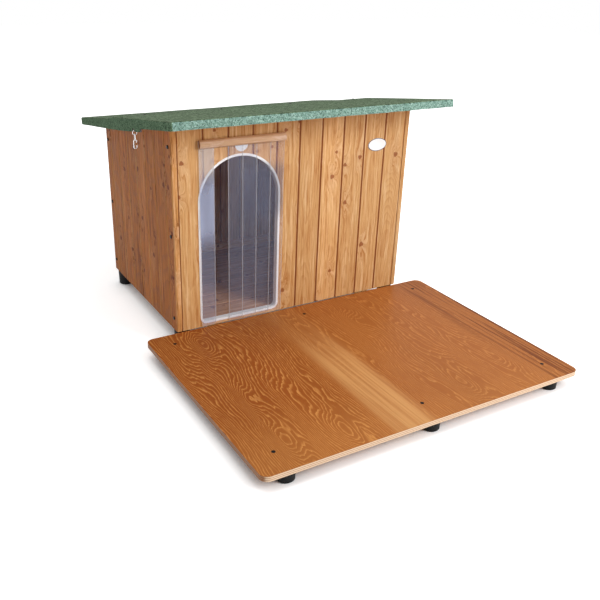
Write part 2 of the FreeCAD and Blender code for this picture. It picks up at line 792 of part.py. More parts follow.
def foot(label, height):
    """A round rubber foot, slightly tapered, hollow under its screw hole."""
    radius = "foot_diameter / 2"
    bore = "screw_shank / 2 + screw_play"
    return turned(label, [(bore, height), (bore, "foot_recess_depth"),
                          ("foot_recess / 2", "foot_recess_depth"), ("foot_recess / 2", "0"),
                          (radius + " - foot_taper - foot_edge", "0"),
                          (radius + " - foot_taper", "foot_edge"), (radius, height)])


def bolt():
    """A panel bolt with a low domed cap, its axis upright and its cap below the wall's face."""
    cap = "bolt_head / 2"
    return turned("panel_bolt", [("0", "-bolt_head_height"),
                                 (cap + " * 0.6", "-bolt_head_height"), (cap, "-bolt_head_height * 0.4"),
                                 (cap, "0"), ("bolt_shank / 2", "0"),
                                 ("bolt_shank / 2", "board_thickness + bolt_thread_depth"),
                                 ("0", "board_thickness + bolt_thread_depth")])


def deck_screw():
    """A countersunk screw, its head level with the platform's top, long enough for its nut."""
    shank = "screw_shank / 2"
    tip = "platform_batten_low - platform_top - 1.5 * nut_height"
    return turned("deck_screw", [("0", tip), (shank, tip), (shank, "-screw_head_depth"),
                                 ("screw_head / 2", "0"), ("0", "0")])


def nut():
    """A hexagon nut against the underside of a platform batten."""
    corners = []
    for step in range(6):
        radius = "nut_width / 2 / cos(30)"
        corners.append(("%s * cos(%d)" % (radius, 60 * step), "%s * sin(%d)" % (radius, 60 * step)))
    body = new_body("nut", None)
    sketch = new_sketch(body, "XY_Plane", "platform_batten_low - nut_height")
    outline(sketch, corners)
    pad(body, sketch, "nut_height")
    bore = new_sketch(body, "XY_Plane", "platform_batten_low")
    circle(bore, "0", "0", "screw_shank / 2 + screw_play")
    cut(body, bore, "4 * nut_height")
    return body


def foot_screw(label, tip):
    """A pan-headed screw whose head is up in the hollow of a foot."""
    shank = "screw_shank / 2"
    level = "foot_recess_depth"
    return turned(label, [("0", level + " - screw_head_depth"),
                          ("screw_head / 2", level + " - screw_head_depth"),
                          ("screw_head / 2", level), (shank, level), (shank, tip), ("0", tip)])


def side_bolts(side, sign, master):
    """The six bolts of one side wall, turned to point inwards."""
    links = []
    turn = 90 if side == "left" else -90
    for column in BOLT_COLUMNS:
        for height in bolt_heights(column):
            link = doc.addObject("App::Link", "%s_bolt" % side)
            link.LinkedObject = master
            link.LinkTransform = False
            link.Placement = Placement(Vector(), Rotation(Vector(0, 1, 0), turn))
            bind(link, "Placement.Base.x", "%s * half_width" % sign)
            bind(link, "Placement.Base.y", "front_face + " + column)
            bind(link, "Placement.Base.z", height)
            links.append(link)
    return group("panel_bolts_" + side, links)


def kennel_feet():
    """A foot under each corner post, and the screws that hold them."""
    places = [(sign + "foot_screw_x", depth, "0") for sign in ("-", "") for depth in FOOT_ROWS]
    return [copies("kennel_feet", foot("kennel_foot", "wall_bottom"), places),
            copies("kennel_foot_screws", foot_screw("kennel_foot_screw", "floor_top + screw_grip"),
                   places)]


# ---------------------------------------------------------------- platform

PLATFORM_ROWS = ["-platform_gap - platform_rear_inset",
                 "platform_front_inset - platform_gap - platform_depth"]
PLATFORM_COLUMNS = ["platform_side_inset - platform_width / 2", "0",
                    "platform_width / 2 - platform_side_inset"]


def platform_places(level):
    return [(x, y, level) for x in PLATFORM_COLUMNS for y in PLATFORM_ROWS]


def platform_foot_places():
    """The feet stand just ahead of the battens, screwed to the sheet alone."""
    columns = ["platform_foot_side - platform_width / 2", "0", "platform_width / 2 - platform_foot_side"]
    return [(x, y + " - platform_foot_ahead", "0") for x in columns for y in PLATFORM_ROWS]


def platform_deck():
    """A plywood sheet with rounded corners, drilled for the batten screws and, from below and not
    right through, for the feet's screws."""
    half = "platform_width / 2"
    front = "-platform_gap - platform_depth"
    rear = "-platform_gap"
    left_centre = "platform_corner - " + half
    right_centre = half + " - platform_corner"
    front_centre = front + " + platform_corner"
    rear_centre = rear + " - platform_corner"
    body = prism("platform_deck", "XY_Plane",
                 [(left_centre, front), (right_centre, front, right_centre, front_centre),
                  (half, front_centre), (half, rear_centre, right_centre, rear_centre),
                  (right_centre, rear), (left_centre, rear, left_centre, rear_centre),
                  ("-" + half, rear_centre), ("-" + half, front_centre, left_centre, front_centre)],
                 "platform_top - platform_thickness", "platform_thickness")
    holes = new_sketch(body, "XY_Plane", "platform_top")
    for x in PLATFORM_COLUMNS:
        for y in PLATFORM_ROWS:
            circle(holes, x, y, "screw_shank / 2 + screw_play")
    cut(body, holes, "4 * platform_thickness")
    pilots = new_sketch(body, "XY_Plane", "platform_foot")
    for x, y, _ in platform_foot_places():
        circle(pilots, x, y, "screw_shank / 2 + screw_play")
    cut(body, pilots, "2 * (platform_foot_grip + screw_play)")
    return body


def platform_battens():
    """Two battens from side to side under the sheet, each drilled for its three screws."""
    battens = []
    for name, row in zip(("rear", "front"), PLATFORM_ROWS):
        near = row + " - platform_batten_width / 2"
        far = row + " + platform_batten_width / 2"
        batten = prism("platform_batten_" + name, "YZ_Plane",
                       [(near, "platform_batten_low"), (far, "platform_batten_low"),
                        (far, "platform_foot"), (near, "platform_foot")],
                       "platform_batten_inset - platform_width / 2",
                       "platform_width - 2 * platform_batten_inset")
        holes = new_sketch(batten, "XY_Plane", "platform_foot")
        for x in PLATFORM_COLUMNS:
            circle(holes, x, row, "screw_shank / 2 + screw_play")
        cut(batten, holes, "4 * platform_batten_thickness")
        battens.append(batten)
    return group("platform_battens", battens)


def countersunk(deck):
    """The deck with its countersinks taken out by cones that follow the screw heads."""
    play = "screw_play"
    cone = turned("countersink", [("0", "-screw_head_depth - " + play), ("screw_shank / 2 + " + play,
                                  "-screw_head_depth - " + play),
                                  ("screw_head / 2 + " + play, "0"),
                                  ("screw_head / 2 + " + play, "screw_head_depth"),
                                  ("0", "screw_head_depth")])
    cones = copies("countersinks", cone, platform_places("platform_top"))
    result = doc.addObject("Part::Cut", "platform_deck_finished")
    result.Base = deck
    result.Tool = cones
    deck.Label = "platform_sheet"
    result.Label = "platform_deck"
    return result


# ---------------------------------------------------------------- bracket and chain

def chain_bracket():
    """An angle under the left end of the roof; its upright leg is drilled for the ring."""
    near = "bracket_place - bracket_length / 2"
    far = "bracket_place + bracket_length / 2"
    body = new_body("chain_bracket", "roof")
    leg = new_sketch(body, "YZ_Plane", "bracket_x - bracket_plate")
    outline(leg, [(near, "-bracket_leg"), (far, "-bracket_leg"), (far, "0"), (near, "0")])
    pad(body, leg, "bracket_plate")
    plate = new_sketch(body, "YZ_Plane", "bracket_x - bracket_plate")
    outline(plate, [(near, "-bracket_plate"), (far, "-bracket_plate"), (far, "0"), (near, "0")])
    pad(body, plate, "bracket_foot")
    hole = new_sketch(body, "YZ_Plane")
    circle(hole, "bracket_place", "-hang_depth", "bracket_hole / 2")
    cut(body, hole, "2 * roof_width")
    return body


def bent_wire(label, path, radius):
    """A round wire swept along a path of straight and curved edges."""
    wire = Part.Wire(path)
    start = wire.Edges[0].valueAt(wire.Edges[0].FirstParameter)
    along = wire.Edges[0].tangentAt(wire.Edges[0].FirstParameter)
    section = Part.Wire([Part.Circle(start, along, radius).toShape()])
    piece = doc.addObject("Part::Feature", label)
    piece.Label = label
    piece.Shape = wire.makePipeShell([section], True, True)
    return piece


def seat_on_chain(piece):
    bind(piece, "Placement.Base.x", "bracket_x - bracket_plate / 2")
    bind(piece, "Placement.Base.y", "front_face + hang_y")
    bind(piece, "Placement.Base.z", "hang_z")


def chain():
    """A ring through the bracket, a long link, and an open hook, each hanging in the last."""
    ring_top = value("(ring_wire - bracket_hole) / 2 + wire_gap")
    ring_radius = value("ring_radius")
    ring_low = ring_top - 2 * ring_radius
    ring = doc.addObject("Part::Torus", "chain_ring")
    ring.Label = "chain_ring"
    bind(ring, "Radius1", "ring_radius")
    bind(ring, "Radius2", "ring_wire / 2")
    ring.Placement = Placement(Vector(), Rotation(Vector(1, 0, 0), 90))
    bind(ring, "Placement.Base.x", "bracket_x - bracket_plate / 2")
    bind(ring, "Placement.Base.y", "front_face + hang_y")
    bind(ring, "Placement.Base.z", "hang_z + (ring_wire - bracket_hole) / 2 + wire_gap - ring_radius")

    # the long link hangs across the ring, in the plane of y and z
    bend = value("link_radius")
    link_top = ring_low + value("(ring_wire + link_wire) / 2 + wire_gap")
    high = link_top - bend
    low = link_top - value("link_length") + bend
    link_path = [Part.Arc(Vector(0, bend, high), Vector(0, 0, high + bend), Vector(0, -bend, high)).toShape(),
                 Part.LineSegment(Vector(0, -bend, high), Vector(0, -bend, low)).toShape(),
                 Part.Arc(Vector(0, -bend, low), Vector(0, 0, low - bend), Vector(0, bend, low)).toShape(),
                 Part.LineSegment(Vector(0, bend, low), Vector(0, bend, high)).toShape()]
    link = bent_wire("chain_link", link_path, value("link_wire") / 2)
    seat_on_chain(link)

    # the hook's eye hangs across the link, and its open end turns up towards the wall
    turn = value("hook_radius")
    hook_top = low - bend + value("(link_wire + hook_wire) / 2 + wire_gap")
    eye = hook_top - turn
    base = eye - 2 * turn - value("hook_wire") - turn
    slope = math.radians(60)
    hook_path = [Part.Arc(Vector(turn * math.cos(slope), 0, eye - turn * math.sin(slope)),
                          Vector(turn * math.cos(slope / 4), 0, eye + turn * math.sin(slope / 4)),
                          Vector(0, 0, hook_top)).toShape(),
                 Part.Arc(Vector(0, 0, hook_top), Vector(-turn * math.sin(slope), 0, eye + turn * math.cos(slope)),
                          Vector(-turn, 0, eye)).toShape(),
                 Part.LineSegment(Vector(-turn, 0, eye), Vector(-turn, 0, base)).toShape(),
                 Part.Arc(Vector(-turn, 0, base), Vector(0, 0, base - turn), Vector(turn, 0, base)).toShape(),
                 Part.LineSegment(Vector(turn, 0, base), Vector(turn, 0, base + turn)).toShape()]
    hook = bent_wire("snap_hook", hook_path, value("hook_wire") / 2)
    seat_on_chain(hook)
    return [ring, link, hook]


# ---------------------------------------------------------------- the whole object

def build():
    fill_sheet()
    parts = front_boards()
    parts += [rear_wall(), side_wall("left", "-1"), side_wall("right", "1")]
    parts += frame() + [door_jambs()] + floor()
    parts += [door_sill(), door_trim()] + curtain()
    parts += roof_deck() + [roof_firring(), roof_felt()]
    bolt_master = bolt()
    parts += [side_bolts("left", "-1", bolt_master), side_bolts("right", "1", bolt_master)]
    parts += hinges() + kennel_feet()
    parts.append(countersunk(platform_deck()))
    parts.append(platform_battens())
    parts.append(copies("platform_feet", foot("platform_foot_master", "platform_foot"),
                        platform_foot_places()))
    platform_foot_screw = foot_screw("platform_foot_screw", "platform_foot + platform_foot_grip")
    parts.append(copies("platform_foot_screws", platform_foot_screw, platform_foot_places()))
    parts.append(copies("platform_screws", deck_screw(), platform_places("platform_top")))
    parts.append(copies("platform_nuts", nut(), platform_places("0")))
    parts.append(chain_bracket())
    parts += chain()
    return parts


def write(parts):
    doc.recompute()
    for obj in doc.Objects:
        if "Invalid" in obj.State or "Error" in obj.State:
            raise RuntimeError("%s failed: %s" % (obj.Label, obj.State))
    os.makedirs("parts", exist_ok=True)
    for part in parts:
        shape = part.Shape
        if shape.isNull() or not shape.isValid() or not shape.Solids:
            raise RuntimeError(part.Label + " has no sound shape")
        shape.exportStep("parts/%s.step" % part.Label)
        box = shape.BoundBox
        print("%-22s %2d solids  x %8.1f %8.1f  y %8.1f %8.1f  z %8.1f %8.1f" % (
            part.Label, len(shape.Solids), box.XMin, box.XMax, box.YMin, box.YMax, box.ZMin, box.ZMax))


write(build())
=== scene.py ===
import math

import bmesh
import bpy
from mathutils import Matrix, Vector, noise


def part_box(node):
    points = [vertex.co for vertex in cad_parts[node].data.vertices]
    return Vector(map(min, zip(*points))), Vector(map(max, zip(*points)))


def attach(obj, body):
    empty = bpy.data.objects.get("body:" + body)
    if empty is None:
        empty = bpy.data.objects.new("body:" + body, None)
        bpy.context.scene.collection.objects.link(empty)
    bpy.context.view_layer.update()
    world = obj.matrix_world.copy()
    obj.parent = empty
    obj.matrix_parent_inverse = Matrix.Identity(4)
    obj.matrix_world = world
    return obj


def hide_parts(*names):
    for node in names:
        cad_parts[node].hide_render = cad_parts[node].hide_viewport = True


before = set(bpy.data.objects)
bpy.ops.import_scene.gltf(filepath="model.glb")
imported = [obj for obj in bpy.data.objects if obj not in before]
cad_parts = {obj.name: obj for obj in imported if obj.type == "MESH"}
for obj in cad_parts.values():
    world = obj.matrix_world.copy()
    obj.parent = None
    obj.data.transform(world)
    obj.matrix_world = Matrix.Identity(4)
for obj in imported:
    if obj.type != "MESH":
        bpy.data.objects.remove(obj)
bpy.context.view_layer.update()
bpy.context.scene.view_settings.view_transform = "Standard"

# ---------------------------------------------------------------- front wall
# Ten upright tongued and grooved pine boards with V joints, brushed with a honey-coloured satin
# stain that gathers in the joints. They are nailed to the rails behind them.

X, Y, Z = 0, 1, 2
BOARD_COVER = 0.096
FRONT_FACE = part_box("front_board_01")[0].y
WALL_LEFT_JOINT = -5 * BOARD_COVER
JOINT_STAIN = 0.80
JOINT_STAIN_START = 0.0050
JOINT_STAIN_FULL = 0.0026
RING_STRENGTH = 0.36
RING_PITCH = 0.0042
KNOT_CELL = (0.085, 0.17, 0.0)


def add_node(tree, kind, inputs=None, **settings):
    """A shader node with its settings; each input is given a value or joined to a socket."""
    made = tree.nodes.new("ShaderNode" + kind)
    for name, setting in settings.items():
        setattr(made, name, setting)
    for name, given in (inputs or {}).items():
        socket = made.inputs[name]
        if isinstance(given, bpy.types.NodeSocket):
            tree.links.new(given, socket)
        else:
            socket.default_value = given
    return made


def sums(tree, operation, first, second=0.0, third=0.0):
    """One step of arithmetic on two or three numbers or sockets."""
    return add_node(tree, "Math", {0: first, 1: second, 2: third}, operation=operation).outputs[0]


def fade(tree, amount, low, high):
    """0 below low and 1 above high, smoothly between them; high may be the lower one."""
    return add_node(tree, "MapRange", {"Value": amount, "From Min": low, "From Max": high},
                    interpolation_type="SMOOTHSTEP").outputs[0]


def blend_colours(tree, amount, first, second, kind="MIX"):
    """The first colour where amount is 0 and the second where it is 1."""
    made = add_node(tree, "Mix", {0: amount, 6: first, 7: second}, data_type="RGBA", blend_type=kind)
    return made.outputs[2]


def shaded(tree, colour, shade):
    """The colour times a grey level."""
    grey = add_node(tree, "CombineColor", {0: shade, 1: shade, 2: shade}).outputs[0]
    return blend_colours(tree, 1.0, colour, grey, "MULTIPLY")


def bell(tree, squared):
    """1 at 0, falling as a bell curve does, from the square of a distance."""
    return sums(tree, "POWER", 2.718, sums(tree, "MULTIPLY", squared, -1.0))


def steps(tree, amount, stops):
    """A ramp through (position, grey level) stops."""
    ramp = add_node(tree, "ValToRGB", {"Fac": amount})
    for number, (place, grey) in enumerate(stops):
        if number < 2:
            stop = ramp.color_ramp.elements[number]
            stop.position = place
        else:
            stop = ramp.color_ramp.elements.new(place)
        stop.color = (grey, grey, grey, 1.0)
    return ramp.outputs[0]


def new_group(name, inputs, outputs):
    """An empty shader node group, returned with its input and output nodes."""
    group = bpy.data.node_groups.new(name, "ShaderNodeTree")
    for label, kind in inputs:
        group.interface.new_socket(label, in_out="INPUT", socket_type="NodeSocket" + kind)
    for label, kind in outputs:
        group.interface.new_socket(label, in_out="OUTPUT", socket_type="NodeSocket" + kind)
    return group, group.nodes.new("NodeGroupInput"), group.nodes.new("NodeGroupOutput")


def pine_grain_group():
    """Flat-sawn pine: growth rings about a wandering pith, bent round knots, under a stain whose
    colours are the group's own inputs."""
    group, given, result = new_group(
        "pine_grain",
        [("Across", "Float"), ("Depth", "Float"), ("Along", "Float"), ("Board", "Float"),
         ("Cover", "Float"), ("Joint Stain", "Float"),
         ("Light", "Color"), ("Dark", "Color"), ("Pale", "Color"), ("Deep", "Color")],
        [("Colour", "Color"), ("Roughness", "Float"), ("Relief", "Float")])
    across, depth, along, board = (given.outputs[n] for n in ("Across", "Depth", "Along", "Board"))
    lot = add_node(group, "TexWhiteNoise", {"W": board}, noise_dimensions="1D")
    draws = add_node(group, "SeparateColor", {0: lot.outputs["Color"]}).outputs
    # the pith wanders along the board
    path = add_node(group, "CombineXYZ", {0: sums(group, "MULTIPLY", board, 7.31),
                                          1: sums(group, "MULTIPLY", along, 1.7)}).outputs[0]
    wander = add_node(group, "TexNoise", {"Vector": path, "Scale": 1.0, "Detail": 2.0, "Roughness": 0.45})
    drift = add_node(group, "SeparateColor", {0: wander.outputs["Color"]}).outputs
    pith_across = sums(group, "MULTIPLY_ADD", sums(group, "SUBTRACT", draws[0], 0.5), 0.05,
                       sums(group, "MULTIPLY", sums(group, "SUBTRACT", drift[0], 0.5), 0.11))
    pith_depth = sums(group, "MULTIPLY_ADD", draws[1], 0.035,
                      sums(group, "MULTIPLY_ADD", sums(group, "SUBTRACT", drift[1], 0.5), 0.09, 0.022))
    side = sums(group, "SUBTRACT", across, pith_across)
    below = sums(group, "ADD", depth, pith_depth)
    radius = sums(group, "SQRT", sums(group, "ADD", sums(group, "MULTIPLY", side, side),
                                      sums(group, "MULTIPLY", below, below)))
    # knots: a few to each board, with the rings pushed round them
    cell = add_node(group, "CombineXYZ", {0: sums(group, "MULTIPLY_ADD", board, 3.7,
                                                  sums(group, "MULTIPLY", across, 1 / KNOT_CELL[0])),
                                          1: sums(group, "MULTIPLY_ADD", along, 1 / KNOT_CELL[1],
                                                  sums(group, "MULTIPLY", draws[2], 9.0))}).outputs[0]
    places = add_node(group, "TexVoronoi", {"Vector": cell, "Scale": 1.0, "Randomness": 0.85},
                      voronoi_dimensions="2D")
    apart = add_node(group, "VectorMath", {0: cell, 1: places.outputs["Position"]}, operation="SUBTRACT")
    metric = add_node(group, "VectorMath", {0: apart.outputs[0], 1: KNOT_CELL}, operation="MULTIPLY")
    away = add_node(group, "VectorMath", {0: metric.outputs[0]}, operation="LENGTH").outputs["Value"]
    drawn = add_node(group, "VectorMath", {0: metric.outputs[0], 1: (1.0, 0.36, 0.0)}, operation="MULTIPLY")
    oval = add_node(group, "VectorMath", {0: drawn.outputs[0]}, operation="LENGTH").outputs["Value"]
    chance = add_node(group, "SeparateColor", {0: places.outputs["Color"]}).outputs
    present = fade(group, chance[0], 0.38, 0.40)
    turns = add_node(group, "SeparateXYZ", {0: drawn.outputs[0]}).outputs
    angle = sums(group, "ARCTAN2", turns[0], turns[1])
    points = sums(group, "SINE", sums(group, "MULTIPLY_ADD", angle, 5.0,
                                      sums(group, "MULTIPLY", chance[2], 6.0)))
    size = sums(group, "MULTIPLY", sums(group, "MULTIPLY_ADD", chance[1], 0.0065, 0.0055),
                sums(group, "MULTIPLY_ADD", points, 0.16, 1.0))
    knot = sums(group, "MULTIPLY", present, fade(group, sums(group, "DIVIDE", away, size), 1.05, 0.72))
    halo = sums(group, "MULTIPLY", present, fade(group, sums(group, "DIVIDE", oval, size), 3.4, 0.9))
    reach = sums(group, "DIVIDE", oval, sums(group, "MULTIPLY", size, 1.9))
    push = sums(group, "MULTIPLY", sums(group, "MULTIPLY", present, size),
                bell(group, sums(group, "POWER", reach, 2.0)))
    fine_place = add_node(group, "CombineXYZ", {0: sums(group, "MULTIPLY_ADD", board, 1.7,
                                                        sums(group, "MULTIPLY", across, 55.0)),
                                                1: sums(group, "MULTIPLY", along, 7.0),
                                                2: sums(group, "MULTIPLY", depth, 55.0)}).outputs[0]
    shiver = add_node(group, "TexNoise", {"Vector": fine_place, "Scale": 1.0, "Detail": 2.0}).outputs[0]
    bent = sums(group, "ADD", radius, sums(group, "MULTIPLY", push, 1.6))
    phase = sums(group, "ADD", sums(group, "MULTIPLY", bent, 1 / RING_PITCH),
                 sums(group, "MULTIPLY", shiver, 1.1))
    rings = steps(group, sums(group, "FRACT", phase),
                  [(0.0, 0.0), (0.45, 0.18), (0.80, 0.9), (0.92, 1.0), (1.0, 0.05)])
    strand_place = add_node(group, "CombineXYZ", {0: sums(group, "MULTIPLY", across, 620.0),
                                                  1: sums(group, "MULTIPLY_ADD", along, 16.0, board),
                                                  2: sums(group, "MULTIPLY", depth, 620.0)}).outputs[0]
    fibre = add_node(group, "TexNoise", {"Vector": strand_place, "Scale": 1.0, "Detail": 3.0,
                                         "Roughness": 0.6}).outputs[0]
    streak_place = add_node(group, "CombineXYZ", {
        0: sums(group, "MULTIPLY", sums(group, "MULTIPLY_ADD", push, 2.6, across), 105.0),
        1: sums(group, "MULTIPLY_ADD", along, 3.6, sums(group, "MULTIPLY", board, 5.3)),
        2: sums(group, "MULTIPLY", depth, 105.0)}).outputs[0]
    streak = add_node(group, "TexNoise", {"Vector": streak_place, "Scale": 1.0, "Detail": 5.0,
                                          "Roughness": 0.76}).outputs[0]
    broad = add_node(group, "TexNoise", {"Vector": fine_place, "Scale": 0.22, "Detail": 2.0}).outputs[0]
    tone = sums(group, "MULTIPLY_ADD", draws[1], 0.55, sums(group, "MULTIPLY", broad, 0.5))
    # the stain: pale and dark streaks, a glow round the knots, and a tone for each board
    light, dark, pale, deep = (given.outputs[n] for n in ("Light", "Dark", "Pale", "Deep"))
    glow = sums(group, "MULTIPLY", halo, fade(group, streak, 0.40, 0.58))
    colour = light
    for amount, share, stain in ((rings, RING_STRENGTH, dark), (fade(group, streak, 0.52, 0.64), 0.85, pale),
                                 (fade(group, streak, 0.48, 0.37), 0.85, dark), (glow, 0.75, pale),
                                 (halo, 0.30, dark), (knot, 0.85, deep)):
        colour = blend_colours(group, sums(group, "MULTIPLY", amount, share), colour, stain)
    colour = shaded(group, colour, sums(group, "MULTIPLY_ADD", tone, 0.36,
                                        sums(group, "MULTIPLY_ADD", fibre, 0.22, 0.70)))
    # and more of it in the joints, at both edges of the board's cover
    edge = fade(group, sums(group, "ABSOLUTE", across),
                sums(group, "MULTIPLY_ADD", given.outputs["Cover"], 0.5, -JOINT_STAIN_START),
                sums(group, "MULTIPLY_ADD", given.outputs["Cover"], 0.5, -JOINT_STAIN_FULL))
    colour = blend_colours(group, sums(group, "MULTIPLY", edge, given.outputs["Joint Stain"]), colour, deep)
    roughness = sums(group, "MULTIPLY_ADD", fibre, 0.22, sums(group, "MULTIPLY_ADD", rings, -0.08, 0.46))
    relief = sums(group, "MULTIPLY_ADD", rings, 0.5, sums(group, "MULTIPLY_ADD", knot, 0.6, fibre))
    for name, socket in (("Colour", colour), ("Roughness", roughness), ("Relief", relief)):
        group.links.new(socket, result.inputs[name])
    return group


PINE_GRAIN = pine_grain_group()


def new_material(name, colour, roughness, **sockets):
    """A material with one Principled shader, returned with its tree and shader."""
    material = bpy.data.materials.new(name)
    material.use_nodes = True
    shader = material.node_tree.nodes["Principled BSDF"]
    shader.inputs["Base Color"].default_value = colour + (1.0,)
    shader.inputs["Roughness"].default_value = roughness
    for label, amount in sockets.items():
        shader.inputs[label.replace("_", " ")].default_value = amount
    material.diffuse_color = colour + (1.0,)
    return material, material.node_tree, shader


def pine(name, light, dark, joint_stain, across, along, depth, cover, start, seed, tilt=0.0, gloss=0.2,
         face=None, face_painted_light_tint=(1.0, 1.0, 1.0)):
    """Stained pine boards of one cover width side by side, the first from start. across, along and
    depth are the axes of a board, joint_stain is how dark the stain is along its edges, seed tells
    one material's boards from another's, and face is the axis whose low side is multiplied by
    face_painted_light_tint, which paints light and shade onto the boards' faces turned that way."""
    material, tree, shader = new_material(name, light, 0.5, Specular_IOR_Level=gloss)
    place = add_node(tree, "TexCoord").outputs["Object"]
    if tilt:
        place = add_node(tree, "Mapping", {"Vector": place, "Rotation": (tilt, 0.0, 0.0)}).outputs[0]
    axes = add_node(tree, "SeparateXYZ", {0: place}).outputs
    count = sums(tree, "DIVIDE", sums(tree, "SUBTRACT", axes[across], start), cover)
    board = sums(tree, "ADD", sums(tree, "FLOOR", count), seed)
    offset = sums(tree, "MULTIPLY", sums(tree, "SUBTRACT", sums(tree, "FRACT", count), 0.5), cover)
    pale = (light[0] * 1.18 + 0.04, light[1] * 1.36 + 0.04, light[2] * 1.75 + 0.03)
    deep = (dark[0] * 0.62, dark[1] * 0.42, dark[2] * 0.42)
    grain = add_node(tree, "Group", {"Across": offset, "Depth": axes[depth], "Along": axes[along],
                                     "Board": board, "Cover": cover, "Joint Stain": joint_stain,
                                     "Light": light + (1.0,), "Dark": dark + (1.0,),
                                     "Pale": pale + (1.0,), "Deep": deep + (1.0,)},
                     node_tree=PINE_GRAIN).outputs
    colour = grain["Colour"]
    if face is not None:
        # painted light and shade on the faces turned to the low side of the face axis
        normal = add_node(tree, "SeparateXYZ", {0: add_node(tree, "TexCoord").outputs["Normal"]}).outputs
        painted_light_colour = add_node(tree, "VectorMath", {0: colour, 1: face_painted_light_tint}, operation="MULTIPLY").outputs[0]
        colour = blend_colours(tree, fade(tree, normal[face], -0.5, -0.7), colour, painted_light_colour)
    tree.links.new(colour, shader.inputs["Base Color"])
    tree.links.new(grain["Roughness"], shader.inputs["Roughness"])
    bump = add_node(tree, "Bump", {"Strength": 0.35, "Distance": 0.0006, "Height": grain["Relief"]})
    tree.links.new(bump.outputs[0], shader.inputs["Normal"])
    return material


def finish_node(name, material, edge=0.0):
    """Gives a CAD node its material and, where edge is given, softly worn edges of that width."""
    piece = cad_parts[name]
    piece.data.materials.clear()
    piece.data.materials.append(material)
    if edge:
        weld = piece.modifiers.new("joined_faces", "WELD")
        weld.merge_threshold = 0.00002
        soft = piece.modifiers.new("worn_edges", "BEVEL")
        soft.width = edge
        soft.segments = 2
        soft.limit_method = "ANGLE"
        soft.angle_limit = math.radians(30)


HONEY = (0.635, 0.355, 0.142)
HONEY_GRAIN = (0.42, 0.160, 0.040)

front_pine = pine("front_pine", HONEY, HONEY_GRAIN, JOINT_STAIN, X, Z, Y, BOARD_COVER, WALL_LEFT_JOINT, 3.0)
for number in range(1, 11):
    finish_node("front_board_%02d" % number, front_pine)

# ---------------------------------------------------------------- rear and side walls
# The same boards as in the front wall, in the same honey stain; the left wall is painted browner and
# darker as painted shade, except on its faces turned to the front. Each side has a ripped board at both
# ends, which covers the end grain of the front and rear boards and takes the bolts.

SIDE_FIRST_JOINT = FRONT_FACE + 0.060
# the honey stain darkened into painted shade for the left wall, and its grain likewise
PAINTED_SHADE_BROWN = (0.495, 0.163, 0.036)
PAINTED_SHADE_BROWN_GRAIN = (0.195, 0.046, 0.008)

rear_pine = pine("rear_pine", HONEY, HONEY_GRAIN, JOINT_STAIN, X, Z, Y, BOARD_COVER, WALL_LEFT_JOINT, 41.0)
# the left wall's boards in painted shade; on their faces turned to the front the tint takes the painted shade
# back off, towards honey
left_pine_painted_shade = pine("left_pine_painted_shade", PAINTED_SHADE_BROWN, PAINTED_SHADE_BROWN_GRAIN, 0.12, Y, Z, X, BOARD_COVER, SIDE_FIRST_JOINT, 60.0,
                 gloss=0.08, face=Y, face_painted_light_tint=(1.38, 2.05, 3.2))
right_pine = pine("right_pine", HONEY, HONEY_GRAIN, JOINT_STAIN, Y, Z, X, BOARD_COVER, SIDE_FIRST_JOINT,
                  80.0)
finish_node("rear_wall_boards", rear_pine)
finish_node("left_wall_boards", left_pine_painted_shade)
finish_node("right_wall_boards", right_pine)

# ---------------------------------------------------------------- corner posts and rails
# Planed pine battens inside the walls, glued and nailed to the boards: four corner posts that
# take the bolts, rails at the bottom and under the roof, and an upright on each side of the door.

BATTEN_LIGHT = (0.74, 0.46, 0.21)
BATTEN_GRAIN = (0.56, 0.29, 0.10)
BATTEN_EDGE = 0.0012
PLANK = 0.4


def batten_pine(name, across, along, depth, start, seed, plank=PLANK):
    """The paler pine of battens sawn from wide planks, so without joints in it."""
    return pine(name, BATTEN_LIGHT, BATTEN_GRAIN, 0.0, across, along, depth, plank, start, seed)


upright_pine = batten_pine("upright_batten_pine", X, Z, Y, -1.0, 5.0)
cross_pine = batten_pine("cross_batten_pine", Z, X, Y, -0.1, 15.0)
side_pine = batten_pine("side_batten_pine", Z, Y, X, -0.1, 25.0)
for name in ("front_left_post", "front_right_post", "rear_left_post", "rear_right_post", "door_jamb_battens"):
    finish_node(name, upright_pine, BATTEN_EDGE)
for name in ("front_top_rail", "rear_top_rail", "front_bottom_rail", "rear_bottom_rail"):
    finish_node(name, cross_pine, BATTEN_EDGE)
for name in ("left_top_rail", "right_top_rail", "left_bottom_rail", "right_bottom_rail"):
    finish_node(name, side_pine, BATTEN_EDGE)

# ---------------------------------------------------------------- floor
# Pine boards laid from side to side on two bearers, stained a redder brown than the walls.

FLOOR_LIGHT = (0.50, 0.25, 0.115)
FLOOR_GRAIN = (0.30, 0.125, 0.05)
FLOOR_FIRST_JOINT = FRONT_FACE + 0.020

floor_pine = pine("floor_pine", FLOOR_LIGHT, FLOOR_GRAIN, JOINT_STAIN, Y, X, Z, BOARD_COVER,
                  FLOOR_FIRST_JOINT, 100.0)
finish_node("floor_boards", floor_pine)
finish_node("floor_bearers", batten_pine("bearer_pine", X, Y, Z, -1.0, 120.0), BATTEN_EDGE)

# ---------------------------------------------------------------- doorway
# The sill is a strip of the front wall's pine below the opening. A channel of white plastic is
# pressed over the sawn edge all round.

finish_node("door_sill", pine("sill_pine", HONEY, HONEY_GRAIN, 0.0, Z, X, Y, PLANK, -0.1, 131.0))


